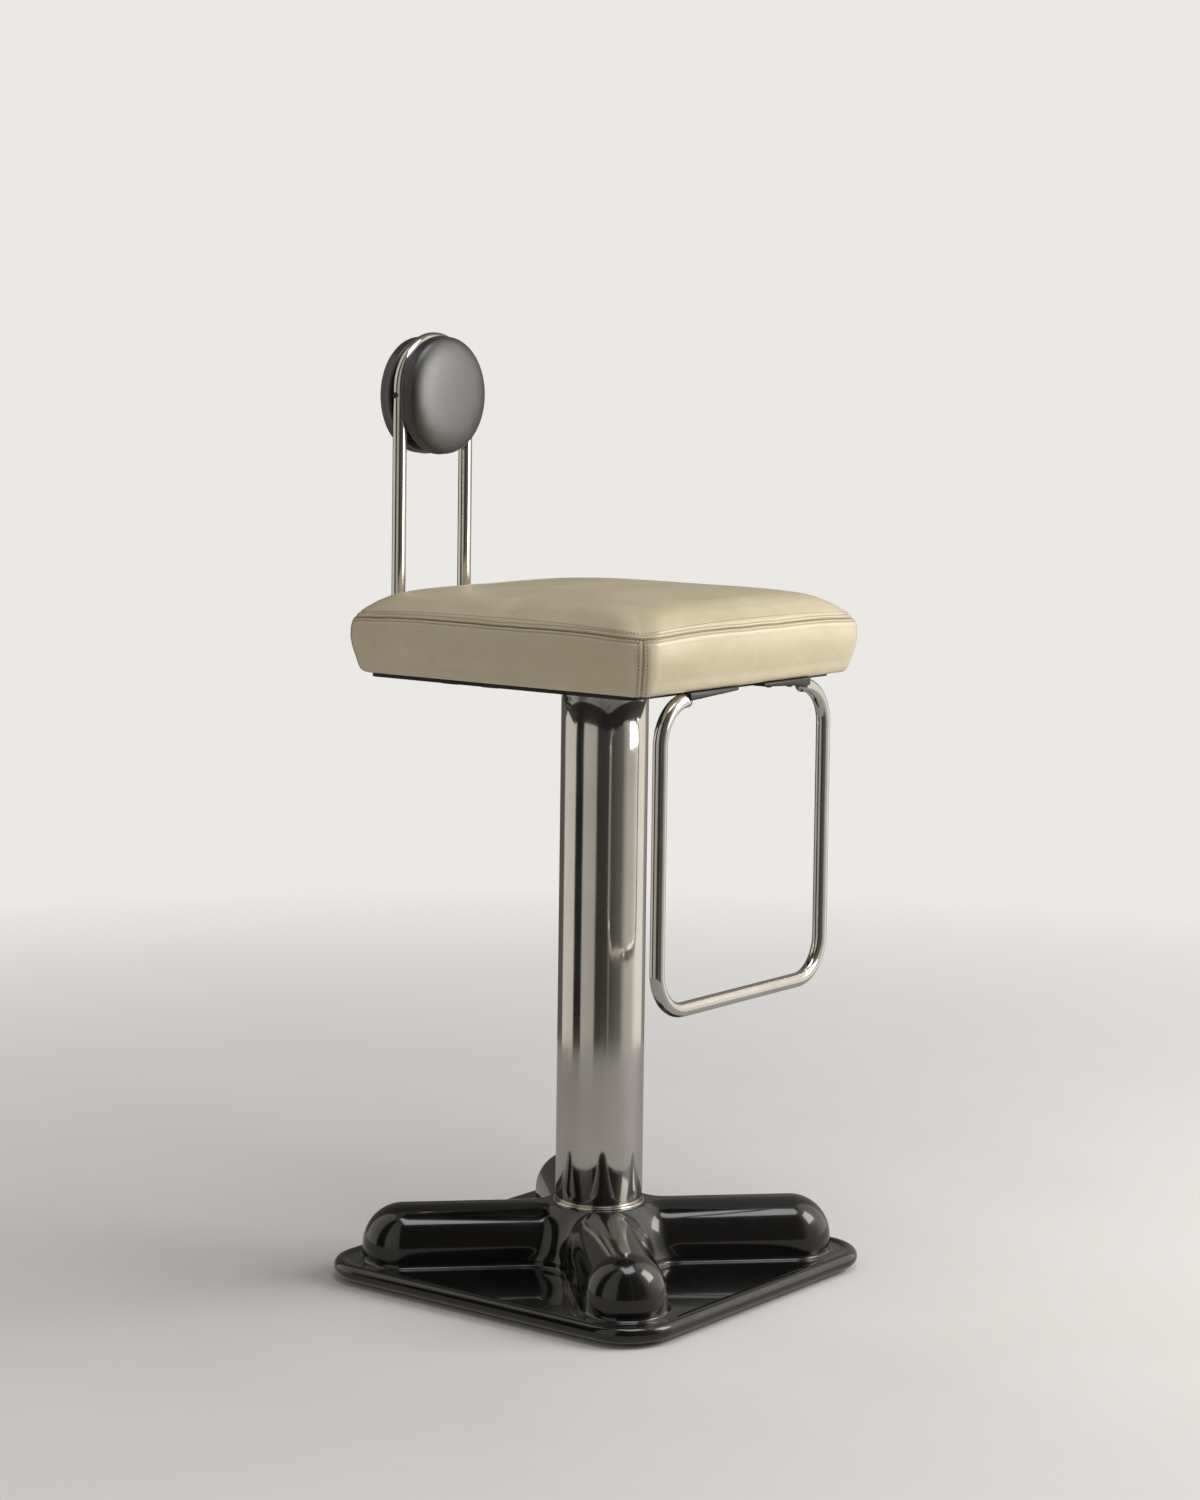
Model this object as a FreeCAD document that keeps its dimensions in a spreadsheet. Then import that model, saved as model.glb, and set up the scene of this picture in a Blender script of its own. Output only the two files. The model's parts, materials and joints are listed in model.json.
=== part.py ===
"""Diner counter stool: padded swivel seat on a polished column, moulded base on hidden castors.

Millimetres, +Z up. The origin is on the floor, on the column's axis. The footrest is at -Y
and the backrest at +Y.
"""

import FreeCAD, Part
import math
import os
from Sketcher import Constraint

Vector = FreeCAD.Vector
Rotation = FreeCAD.Rotation
doc = FreeCAD.newDocument("counter_stool")
sheet = doc.addObject("Spreadsheet::Sheet", "Sizes")

# Driving sizes, by the piece that they belong to
DRIVING = {
    "base_half": 228.5,
    "base_corner": 61.0,
    "bead_radius": 9.0,
    "bead_height": 13.5,
    "plate_top": 20.0,
    "shell_wall": 4.5,
    "arm_radius": 45.5,
    "arm_axis": 37.2,
    "arm_foot_fillet": 5.0,
    "valley_radius": 22.0,
    "hub_radius": 54.0,
    "castor_spacing": 155.8,
    "column_radius": 49.0,
    "column_wall": 2.0,
    "column_low": 76.0,
    "column_top": 660.0,
    "ring_height": 1.8,
    "beam_width": 30.0,
    "beam_height": 20.0,
    "beam_low": 48.0,
    "beam_wall": 2.0,
    "foot_bolt_circle": 34.0,
    "boss_reach": 128.0,
    "boss_radius": 7.0,
    "pilot_radius": 2.2,
    "inner_hub_radius": 30.0,
    "bore_gap": 0.2,
    "frame_disc_radius": 46.0,
    "socket_radius": 11.0,
    "sleeve_radius": 8.0,
    "foot_bolt_radius": 4.0,
    "foot_disc_thickness": 10.0,
    "wheel_radius": 20.0,
    "wheel_half_width": 9.6,
    "castor_trail": 14.0,
    "fork_radius": 15.0,
    "fork_sheet": 2.5,
    "cheek_thickness": 2.0,
    "cheek_gap": 0.9,
    "rim_radius": 14.0,
    "tread_half_width": 8.5,
    "tread_chamfer": 3.0,
    "stem_radius": 5.0,
    "axle_radius": 4.0,
    "running_gap": 0.05,
    "spindle_radius": 12.5,
    "bush_radius": 16.0,
    "bush_length": 20.0,
    "bush_flange_radius": 20.0,
    "bush_flange": 3.0,
    "chamber_radius": 20.5,
    "housing_length": 100.0,
    "spring_radius": 17.5,
    "spring_wire": 1.8,
    "spring_pitch": 5.0,
    "spring_turns": 8.0,
    "stop_pin_radius": 3.5,
    "stop_inner": 26.0,
    "stop_outer": 36.0,
    "swivel_travel": 90.0,
    "swivel_plate_half": 80.0,
    "swivel_plate_thickness": 6.0,
    "seat_low": 680.6,
    "board_half": 195.0,
    "panel_half": 188.0,
    "wrap_width": 18.0,
    "seat_half": 211.0,
    "seat_height": 95.0,
    "leather": 1.5,
    "board_thickness": 18.0,
    "panel_thickness": 4.6,
    "tube_radius": 8.0,
    "tube_wall": 1.5,
    "tube_bend": 46.0,
    "footrest_half": 154.0,
    "footrest_y": 190.0,
    "footrest_low": 341.0,
    "footrest_high": 672.0,
    "shoe_inner": 30.0,
    "shoe_outer": 100.0,
    "shoe_half_width": 10.0,
    "shoe_low": 668.0,
    "saddle_thickness": 2.0,
    "saddle_front_y": 118.0,
    "saddle_rear_y": 176.0,
    "saddle_length": 20.0,
    "saddle_ear": 25.0,
    "saddle_screw_reach": 18.0,
    "shoe_screw_reach": 20.0,
    "back_half": 58.7,
    "back_y": 255.6,
    "arch_centre": 989.7,
    "leg_end": 92.0,
    "pad_radius": 69.5,
    "pad_centre": 984.0,
    "pad_depth": 25.0,
    "pad_edge": 11.0,
    "pad_board_radius": 56.0,
    "pad_board_thickness": 6.0,
    "stud_reach": 26.0,
    "stud_radius": 2.5,
    "spacer_radius": 7.0,
    "strap_thickness": 8.0,
    "strap_height": 20.0,
}


class Size:
    """A length with its number and its formula in the sheet."""

    def __init__(self, value, formula):
        self.value = value
        self.formula = formula

    def joined(self, sign, other, value):
        return Size(value, f"({self.formula} {sign} {as_size(other).formula})")

    def __add__(self, other):
        return self.joined("+", other, self.value + as_size(other).value)

    def __sub__(self, other):
        return self.joined("-", other, self.value - as_size(other).value)

    def __mul__(self, other):
        return self.joined("*", other, self.value * as_size(other).value)

    def __truediv__(self, other):
        return self.joined("/", other, self.value / as_size(other).value)

    def __neg__(self):
        return Size(-self.value, f"(-1 * {self.formula})")


def as_size(thing):
    """A plain number as a size, or the size itself."""
    return thing if isinstance(thing, Size) else Size(float(thing), repr(float(thing)))


def root(size):
    """The square root of a size."""
    return Size(math.sqrt(size.value), f"sqrt({size.formula})")


def fill_sheet():
    """Write the driving sizes into the sheet and return them by name."""
    sizes = {}
    for row, (name, value) in enumerate(DRIVING.items(), start=1):
        sheet.set(f"A{row}", name)
        sheet.set(f"B{row}", str(value))
        sheet.setAlias(f"B{row}", name)
        sizes[name] = Size(value, f"Sizes.{name}")
    doc.recompute()
    return sizes


S = fill_sheet()
S["beam_top"] = S["beam_low"] + S["beam_height"]
S["boss_height"] = S["arm_axis"] + S["arm_radius"] - S["shell_wall"] + 1.5 - S["beam_top"]
S["panel_low"] = S["seat_low"] - S["panel_thickness"]
S["plate_low"] = S["panel_low"] - S["swivel_plate_thickness"]
S["board_low"] = S["seat_low"] + S["leather"]
parts = {}


def keep(obj, name):
    """Label an object with its node name and list it for export."""
    obj.Label = name
    parts[name] = obj
    return obj


def bind(obj, prop, size):
    """Tie a property to a formula in the sheet."""
    obj.setExpression(prop, as_size(size).formula)


def place(obj, x=0, y=0, z=0):
    """Tie an object's position to formulas."""
    obj.Placement = FreeCAD.Placement(
        Vector(as_size(x).value, as_size(y).value, as_size(z).value), obj.Placement.Rotation
    )
    for axis, size in zip("xyz", (x, y, z)):
        if isinstance(size, Size):
            bind(obj, f"Placement.Base.{axis}", size)


def turn(obj, axis, angle):
    """Turn an object about its own position."""
    obj.Placement = FreeCAD.Placement(obj.Placement.Base, Rotation(axis, angle))


def cylinder(name, radius, height, x=0, y=0, z=0, angle=360):
    """An upright cylinder standing on the given point."""
    obj = doc.addObject("Part::Cylinder", name)
    bind(obj, "Radius", radius)
    bind(obj, "Height", height)
    bind(obj, "Angle", angle)
    place(obj, x, y, z)
    return obj


def lying_cylinder(name, radius, length, x, y, z, axis):
    """A cylinder that runs along +X or +Y from the given point."""
    obj = cylinder(name, radius, length, x, y, z)
    turn(obj, Vector(0, 1, 0) if axis == "x" else Vector(1, 0, 0), 90 if axis == "x" else -90)
    return obj


def block(name, size_x, size_y, size_z, x, y, z):
    """A box by its lowest corner."""
    obj = doc.addObject("Part::Box", name)
    bind(obj, "Length", size_x)
    bind(obj, "Width", size_y)
    bind(obj, "Height", size_z)
    place(obj, x, y, z)
    return obj


def fused(name, shapes):
    """One object from several."""
    obj = doc.addObject("Part::MultiFuse", name)
    obj.Shapes = shapes
    return obj


def cut(name, base, tool):
    """One object less another."""
    obj = doc.addObject("Part::Cut", name)
    obj.Base = base
    obj.Tool = tool
    return obj


def ring(name, inner, outer, height, z):
    """A flat ring about the column's axis."""
    body = new_body(name)
    revolve(body, name + "_revolve", [(inner, z), (outer, z), (outer, z + height), (inner, z + height)])
    return body


def new_body(name):
    """A body for sketches and features."""
    return doc.addObject("PartDesign::Body", name)


def plane(body, role):
    """A body's own origin plane or axis."""
    return [item for item in body.Origin.OriginFeatures if item.Role == role][0]


def new_sketch(body, name, role, lift=None):
    """A sketch on one of the body's planes, lifted along the plane's normal."""
    sketch = body.newObject("Sketcher::SketchObject", name)
    sketch.AttachmentSupport = (plane(body, role), [""])
    sketch.MapMode = "FlatFace"
    if lift is not None:
        height = as_size(lift)
        sketch.AttachmentOffset = FreeCAD.Placement(Vector(0, 0, height.value), Rotation())
        bind(sketch, "AttachmentOffset.Base.z", height)
    return sketch


def constrain(sketch, *rule):
    """Add one constraint, tied to a formula where its last item is a size."""
    if isinstance(rule[-1], Size):
        index = sketch.addConstraint(Constraint(*rule[:-1], rule[-1].value))
        sketch.setExpression(f"Constraints[{index}]", rule[-1].formula)
    else:
        sketch.addConstraint(Constraint(*rule))


def pin_point(sketch, geometry, end, x, y):
    """Hold one end of a line or arc at a point."""
    for kind, size, axis in (("DistanceX", x, -2), ("DistanceY", y, -1)):
        size = as_size(size)
        if abs(size.value) < 1e-9:
            constrain(sketch, "PointOnObject", geometry, end, axis)
        else:
            constrain(sketch, kind, -1, 1, geometry, end, size)


def outline(sketch, corners, curved=None, closed=True):
    """Straight sides from corner to corner. `curved` gives the radius of a round side by its
    number: above zero it bulges to the right of its direction, and below zero to the left."""
    curved = curved or {}
    count = len(corners) if closed else len(corners) - 1
    points = [Vector(as_size(x).value, as_size(y).value, 0) for x, y in corners]
    for side in range(count):
        start, end = points[side], points[(side + 1) % len(points)]
        first, last = 1, 2
        if side in curved:
            radius = as_size(curved[side])
            size = abs(radius.value)
            if radius.value < 0:
                start, end = end, start
                first, last = 2, 1
            middle = (start + end) * 0.5
            across = end - start
            reach = math.sqrt(max(size**2 - (across.Length / 2) ** 2, 0))
            centre = middle + Vector(-across.y, across.x, 0).normalize() * reach
            begin = math.atan2(start.y - centre.y, start.x - centre.x)
            finish = math.atan2(end.y - centre.y, end.x - centre.x)
            circle = Part.Circle(centre, Vector(0, 0, 1), size)
            geometry = sketch.addGeometry(Part.ArcOfCircle(circle, begin, finish), False)
            constrain(sketch, "Radius", geometry, radius if radius.value > 0 else -radius)
        else:
            geometry = sketch.addGeometry(Part.LineSegment(start, end), False)
        pin_point(sketch, geometry, first, *corners[side])
        pin_point(sketch, geometry, last, *corners[(side + 1) % len(corners)])
    return sketch


def revolve(body, name, corners, curved=None, angle=360):
    """Turn an outline of (radius, height) corners about the body's Z axis."""
    sketch = outline(new_sketch(body, name + "_sketch", "XZ_Plane"), corners, curved)
    feature = body.newObject("PartDesign::Revolution", name)
    feature.Profile = sketch
    feature.ReferenceAxis = (plane(body, "Z_Axis"), [""])
    feature.Angle = angle
    body.Tip = feature
    return feature


def pad(body, name, sketch, length, both_ways=False):
    """Thicken a sketch along its normal."""
    feature = body.newObject("PartDesign::Pad", name)
    feature.Profile = sketch
    bind(feature, "Length", length)
    feature.Midplane = both_ways
    body.Tip = feature
    return feature


def pocket(body, name, sketch, length, reverse=False):
    """Cut a sketch into the body, against its normal unless reversed."""
    before = body.Tip
    doc.recompute()
    volume = before.Shape.Volume
    feature = body.newObject("PartDesign::Pocket", name)
    feature.Profile = sketch
    bind(feature, "Length", length)
    feature.Reversed = reverse
    body.Tip = feature
    doc.recompute()
    if feature.Shape.Volume >= volume - 1e-6:
        raise RuntimeError(f"{name} cuts nothing")
    return feature


def circle_at(sketch, radius, x=0, y=0):
    """A circle held at a point of the sketch."""
    radius = as_size(radius)
    centre = Vector(as_size(x).value, as_size(y).value, 0)
    geometry = sketch.addGeometry(Part.Circle(centre, Vector(0, 0, 1), radius.value), False)
    constrain(sketch, "Radius", geometry, radius)
    pin_point(sketch, geometry, 3, x, y)
    return sketch


def rounded_square(sketch, half, corner, half_y=None, shift_y=0):
    """A rectangle with round corners, centred on the sketch's origin or shifted along Y."""
    half, corner = as_size(half), as_size(corner)
    half_y = as_size(half_y if half_y is not None else half)
    low, high = as_size(shift_y) - half_y, as_size(shift_y) + half_y
    inset = half - corner
    corners = [
        (-inset, low),
        (inset, low),
        (half, low + corner),
        (half, high - corner),
        (inset, high),
        (-inset, high),
        (-half, high - corner),
        (-half, low + corner),
    ]
    return outline(sketch, corners, {side: corner for side in (1, 3, 5, 7)})


def edges_where(shape, test):
    """The names of a shape's edges that pass a test."""
    return [f"Edge{n}" for n, edge in enumerate(shape.Edges, start=1) if test(edge)]


def rounded(body, name, radius, test):
    """Fillet the edges of the body's last feature that pass a test."""
    doc.recompute()
    base = body.Tip
    feature = body.newObject("PartDesign::Fillet", name)
    feature.Base = (base, edges_where(base.Shape, test))
    bind(feature, "Radius", radius)
    body.Tip = feature
    return feature


def tube_along(body, name, path, profile):
    """Sweep a tube's section along a sketched path."""
    feature = body.newObject("PartDesign::AdditivePipe", name)
    feature.Profile = profile
    feature.Spine = (path, [f"Edge{n + 1}" for n in range(path.GeometryCount)])
    body.Tip = feature
    return feature


def tube_section(body, name, role, lift, x, y):
    """The ring that a tube is swept from."""
    sketch = new_sketch(body, name, role, lift)
    circle_at(sketch, S["tube_radius"], x, y)
    circle_at(sketch, S["tube_radius"] - S["tube_wall"], x, y)
    return sketch


def bent_path(sketch, corners, bend):
    """An open path of level and upright runs, joined by quarter bends of one radius."""
    stops = []
    for index, (x, y) in enumerate(corners):
        if index in (0, len(corners) - 1):
            stops.append([(as_size(x), as_size(y))])
            continue
        before, after = corners[index - 1], corners[index + 1]
        stops.append([stepped((x, y), before, bend), stepped((x, y), after, bend)])
    points = [point for stop in stops for point in stop]
    curved = {}
    for index in range(1, len(corners) - 1):
        side = 2 * index - 1
        into = [b.value - a.value for a, b in zip(points[side - 1], points[side])]
        out = [b.value - a.value for a, b in zip(points[side + 1], points[side + 2])]
        leftward = into[0] * out[1] - into[1] * out[0] > 0
        curved[side] = bend if leftward else -bend
    return outline(sketch, points, curved, closed=False)


def stepped(corner, towards, distance):
    """The point at a distance from a corner along the level or upright run to its neighbour."""
    point = []
    for here, there in zip(corner, towards):
        here, there = as_size(here), as_size(there)
        gap = there.value - here.value
        if abs(gap) < 1e-9:
            point.append(here)
        else:
            point.append(here + distance if gap > 0 else here - distance)
    return tuple(point)


def screws(name, places, low, head_radius, head_height, shank_radius, length):
    """Upright screws with a round head below and the shank above, as one group of solids."""
    solids = []
    for number, (x, y) in enumerate(places, start=1):
        head = cylinder(f"{name}_head_{number}", head_radius, head_height, x, y, low)
        shank = cylinder(f"{name}_shank_{number}", shank_radius, length, x, y, as_size(low) + head_height)
        solids.append(fused(f"{name}_{number}", [head, shank]))
    group = doc.addObject("Part::Compound", name)
    group.Links = solids
    return keep(group, name)


# Base shell: plate with a rolled bead, four domed arms that run into a hub, hollow below


def star_outline(name, half_width, corner, height):
    """A level four-armed outline: straight sides, round arm ends and round inner corners."""
    reach = S["castor_spacing"].value * math.sqrt(2)
    start = half_width + corner
    edges = []
    for quarter in range(4):
        spin = Rotation(Vector(0, 0, 1), 45 + 90 * quarter)
        end = [Vector(start, -half_width, 0), Vector(reach, -half_width, 0)]
        end += [Vector(reach + half_width, 0, 0), Vector(reach, half_width, 0)]
        end += [Vector(start, half_width, 0), Vector(half_width, start, 0)]
        throat = Vector(start, start, 0) - Vector(1, 1, 0).normalize() * corner
        a, b, c, d, e, f, mid = [spin.multVec(point) for point in end + [throat]]
        edges.append(Part.LineSegment(a, b).toShape())
        edges.append(Part.Arc(b, c, d).toShape())
        edges.append(Part.LineSegment(d, e).toShape())
        edges.append(Part.Arc(e, mid, f).toShape())
    wire = Part.Wire(Part.__sortEdges__(edges))
    section = doc.addObject("Part::Feature", name)
    section.Shape = wire
    section.Placement = FreeCAD.Placement(Vector(0, 0, height), Rotation())
    return section


# The vault's sections over the arms, as parts of a quarter turn
VAULT_RISES = (0, 0.18, 0.36, 0.54, 0.7, 0.83, 0.93)


def star_solid(name, radius, low, hub, valley):
    """Upright walls up to the arms' axis, then a vault that narrows to the arms' ridges and
    widens at its middle into the hub."""
    axis = S["arm_axis"].value
    foot = star_outline(name + "_foot", radius, valley, low)
    walls = doc.addObject("Part::Extrusion", name + "_walls")
    walls.Base = foot
    walls.DirMode = "Custom"
    walls.Dir = Vector(0, 0, 1)
    walls.LengthFwd = axis - low
    walls.Solid = True
    sections = []
    for number, rise in enumerate(VAULT_RISES):
        half_width = radius * math.cos(rise * math.pi / 2)
        height = axis + radius * math.sin(rise * math.pi / 2)
        span = max(hub * (rise**2), (half_width + valley) * math.sqrt(2) - valley)
        corner = (span - half_width * math.sqrt(2)) / (math.sqrt(2) - 1)
        sections.append(star_outline(f"{name}_section_{number}", half_width, corner, height))
    vault = doc.addObject("Part::Loft", name + "_vault")
    vault.Sections = sections
    vault.Solid = True
    vault.Ruled = True
    return fused(name, [walls, vault])


def base_shell():
    """The moulded base: everything that shows between the floor and the column's foot."""
    wall, top = S["shell_wall"], S["plate_top"]
    bead, bead_z = S["bead_radius"], S["bead_height"]
    half, corner = S["base_half"] - bead, S["base_corner"] - bead
    plate = new_body("shell_plate")
    rounded_square(new_sketch(plate, "plate_sketch", "XY_Plane", top - wall), half, corner)
    pad(plate, "plate_pad", doc.plate_sketch, wall)
    path = rounded_square(new_sketch(plate, "bead_path", "XY_Plane", bead_z), half, corner)
    section = circle_at(new_sketch(plate, "bead_section", "XZ_Plane"), bead, half, bead_z)
    tube_along(plate, "bead", path, section)
    low = (top - wall).value
    radius = S["arm_radius"].value
    valley = S["valley_radius"].value
    outer = star_solid("shell_outer", radius, low, S["hub_radius"].value, valley)
    inner_radius = radius - wall.value
    inner = star_solid("shell_inner", inner_radius, low - 2, S["inner_hub_radius"].value, valley + wall.value)
    skin = fused("shell_skin", [plate, outer])
    doc.recompute()
    foot = doc.addObject("Part::Fillet", "shell_foot")
    foot.Base = skin
    tests = [near_height(edge, top.value) and inside(edge, half.value - 3) for edge in skin.Shape.Edges]
    size = S["arm_foot_fillet"].value
    foot.Edges = [(n, size, size) for n, found in enumerate(tests, start=1) if found]
    bosses = fused("shell_bosses", [cylinder(f"boss_{n}", S["boss_radius"], S["boss_height"], x, y, S["beam_top"])
                                    for n, (x, y) in enumerate(on_arms(S["boss_reach"]), start=1)])
    hollow = cut("shell_hollow", foot, inner)
    with_bosses = fused("shell_with_bosses", [hollow, bosses])
    bore = cylinder("column_bore", S["column_radius"] + S["bore_gap"], 60, 0, 0, S["arm_axis"])
    pilots = [cylinder(f"pilot_{n}", S["pilot_radius"], 8, x, y, S["beam_top"] - 1)
              for n, (x, y) in enumerate(on_arms(S["boss_reach"]), start=1)]
    keep(cut("base_shell_cut", with_bosses, fused("shell_holes", [bore] + pilots)), "base_shell")


def on_arms(reach):
    """The four points at a distance along the arms."""
    step = reach / root(as_size(2))
    return [(step * x, step * y) for x in (-1, 1) for y in (-1, 1)]


def near_height(edge, height):
    """Whether an edge lies level at a height."""
    box = edge.BoundBox
    return abs(box.ZMin - height) < 0.01 and abs(box.ZMax - height) < 0.01


def inside(edge, half):
    """Whether an edge lies inside a square."""
    box = edge.BoundBox
    return max(abs(box.XMin), abs(box.XMax), abs(box.YMin), abs(box.YMax)) < half


def castor_points():
    """The four castor centres by the names of their corners."""
    spacing = S["castor_spacing"]
    return {
        "front_left": (-spacing, -spacing),
        "front_right": (spacing, -spacing),
        "rear_left": (-spacing, spacing),
        "rear_right": (spacing, spacing),
    }


def turned_beam(name, grow, angle):
    """A bar across the base on one diagonal, or its hollow where `grow` is below zero."""
    length = S["castor_spacing"] * (2 * math.sqrt(2))
    width = S["beam_width"] + 2 * grow
    bar = doc.addObject("Part::Box", name)
    bind(bar, "Length", length)
    bind(bar, "Width", width)
    bind(bar, "Height", S["beam_height"] + 2 * grow)
    spin = Rotation(Vector(0, 0, 1), angle)
    corner = Vector(-length.value / 2, -width.value / 2, 0)
    bar.Placement = FreeCAD.Placement(spin.multVec(corner), spin)
    bind(bar, "Placement.Base.z", S["beam_low"] - grow)
    return bar


def cross_frame():
    """The welded frame inside the shell: two hollow bars, a disc for the column, four sockets."""
    socket_low, socket_height = S["beam_low"] - 2, S["beam_height"] + 6
    bars = [turned_beam(f"bar_{n}", 0, 45 + 90 * n) for n in range(2)]
    disc = cylinder("frame_disc", S["frame_disc_radius"], S["column_low"] - S["beam_top"], 0, 0, S["beam_top"])
    sockets = [cylinder(f"socket_{name}", S["socket_radius"], socket_height, x, y, socket_low)
               for name, (x, y) in castor_points().items()]
    hollows = [turned_beam(f"bar_hollow_{n}", -S["beam_wall"].value, 45 + 90 * n) for n in range(2)]
    closed = cut("frame_hollowed", fused("frame_bars", bars), fused("bar_hollows", hollows))
    whole = fused("frame_whole", [closed, disc] + sockets)
    holes = [cylinder(f"socket_bore_{name}", S["sleeve_radius"], socket_height + 2, x, y, socket_low - 1)
             for name, (x, y) in castor_points().items()]
    holes += [cylinder(f"bolt_way_{n}", S["foot_bolt_radius"] + 0.25, 10, x, y, S["beam_top"] - 1)
              for n, (x, y) in enumerate(around(S["foot_bolt_circle"]), start=1)]
    for n, (x, y) in enumerate(on_arms(S["boss_reach"]), start=1):
        holes.append(cylinder(f"screw_way_{n}", 2.5, 4, x, y, S["beam_top"] - 3))
        holes.append(cylinder(f"driver_way_{n}", 6, 4, x, y, S["beam_low"] - 1))
    keep(cut("cross_frame_cut", whole, fused("frame_holes", holes)), "cross_frame")


def around(radius):
    """Four points about the axis, on X and Y."""
    zero = as_size(0)
    return [(radius, zero), (-radius, zero), (zero, radius), (zero, -radius)]


def base_fixings():
    """Bolts that hold the column's foot and screws that hold the shell on its bosses."""
    bolts = []
    for number, (x, y) in enumerate(around(S["foot_bolt_circle"]), start=1):
        head = doc.addObject("Part::Prism", f"bolt_head_{number}")
        head.Polygon = 6
        head.Circumradius = 7.5
        head.Height = 5.5
        place(head, x, y, S["beam_top"] - 5.5)
        shank = cylinder(f"bolt_shank_{number}", S["foot_bolt_radius"], 16, x, y, S["beam_top"])
        bolts.append(fused(f"foot_bolt_{number}", [head, shank]))
    group = doc.addObject("Part::Compound", "foot_bolts")
    group.Links = bolts
    keep(group, "foot_bolts")
    screws("shell_screws", on_arms(S["boss_reach"]), S["beam_top"] - 4.5, 4.4, 2.5, S["pilot_radius"], 8)


def column():
    """The column, the disc welded in its foot and the ring that closes the gap to the shell."""
    outer, inner = S["column_radius"], S["column_radius"] - S["column_wall"]
    low, top = S["column_low"], S["column_top"]
    keep(ring("column_tube", inner, outer, top - low, low), "column_tube")
    disc = cylinder("foot_disc_blank", inner, S["foot_disc_thickness"], 0, 0, low)
    taps = [cylinder(f"foot_tap_{n}", S["foot_bolt_radius"], 12, x, y, low - 1)
            for n, (x, y) in enumerate(around(S["foot_bolt_circle"]), start=1)]
    keep(cut("foot_disc_cut", disc, fused("foot_taps", taps)), "foot_disc")
    seal = new_body("foot_ring")
    low_edge = S["arm_axis"] + S["arm_radius"] * math.sin(VAULT_RISES[-1] * math.pi / 2) + 0.01
    high = low_edge + S["ring_height"]
    corners = [(outer, low_edge), (outer + 2.6, low_edge), (outer + 1.6, high), (outer, high)]
    revolve(seal, "foot_ring_revolve", corners)
    keep(seal, "foot_ring")


def bearing(foot_pin):
    """The housing in the column's top, its two flanged bushes, the washer and the dust cap."""
    top, length = S["column_top"], S["housing_length"]
    outer = S["column_radius"] - S["column_wall"]
    bush, depth, chamber = S["bush_radius"], S["bush_length"], S["chamber_radius"]
    flange_radius, flange = S["bush_flange_radius"], S["bush_flange"]
    housing = new_body("housing_blank")
    corners = [
        (bush, top - length),
        (outer, top - length),
        (outer, top - length + 8),
        (outer - 3, top - length + 10),
        (outer - 3, top - 18),
        (outer, top - 16),
        (outer, top),
        (bush, top),
        (bush, top - depth),
        (chamber, top - depth),
        (chamber, top - length + depth),
        (bush, top - length + depth),
    ]
    revolve(housing, "housing_revolve", corners)
    keep(cut("housing_cut", housing, foot_pin), "bearing_housing")
    bore = S["spindle_radius"] + S["running_gap"]
    for name, low, flange_low in (
        ("upper_bush", top - depth, top),
        ("lower_bush", top - length, top - length - flange),
    ):
        body = new_body(name)
        if name == "upper_bush":
            steps = [(bore, low), (bush, low), (bush, top), (flange_radius, top),
                     (flange_radius, top + flange), (bore, top + flange)]
        else:
            steps = [(bore, flange_low), (flange_radius, flange_low), (flange_radius, low), (bush, low),
                     (bush, low + depth), (bore, low + depth)]
        revolve(body, name + "_revolve", steps)
        keep(body, name)
    keep(ring("thrust_washer", bore + 0.1, flange_radius, 1.4, top + flange), "thrust_washer")
    cap = new_body("column_cap")
    rim = S["column_radius"]
    corners = [(21, top), (rim, top), (rim, top + 3), (rim - 1.5, top + 4.5), (21, top + 4.5)]
    revolve(cap, "column_cap_revolve", corners)
    keep(cap, "column_cap")


def helix_point(radius, pitch, low, turn):
    """A point of a helix and its direction there, after a number of turns."""
    angle = 2 * math.pi * turn
    point = Vector(radius * math.cos(angle), radius * math.sin(angle), low + pitch * turn)
    rise = pitch / (2 * math.pi)
    direction = Vector(-radius * math.sin(angle), radius * math.cos(angle), rise).normalize()
    return point, direction


def tangent_arc(start, corner, end):
    """The arc that leaves `start` towards `corner` and reaches `end` along the line from it."""
    middle = (start + end) * 0.5
    half = (end - start).Length / 2
    lean = math.acos(min(half / (corner - start).Length, 1))
    top = middle + (corner - middle).normalize() * (half * math.tan(lean / 2))
    return Part.Arc(start, top, end).toShape()


def biarc(start, leaving, end, arriving):
    """Two arcs that join two points smoothly."""
    gap = end - start
    both = leaving + arriving
    bend = 2 * (1 - leaving.dot(arriving))
    along = gap.dot(both)
    step = (math.sqrt(along * along + bend * gap.dot(gap)) - along) / bend
    first = start + leaving * step
    second = end - arriving * step
    middle = (first + second) * 0.5
    return [tangent_arc(start, first, middle), tangent_arc(middle, second, end)]


def least_gap(points, wire, apart):
    """The least clear distance between stretches of a wire, `apart` points from each other."""
    pairs = ((a, b) for n, a in enumerate(points) for b in points[n + apart:])
    return min((a - b).Length for a, b in pairs) - 2 * wire


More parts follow.
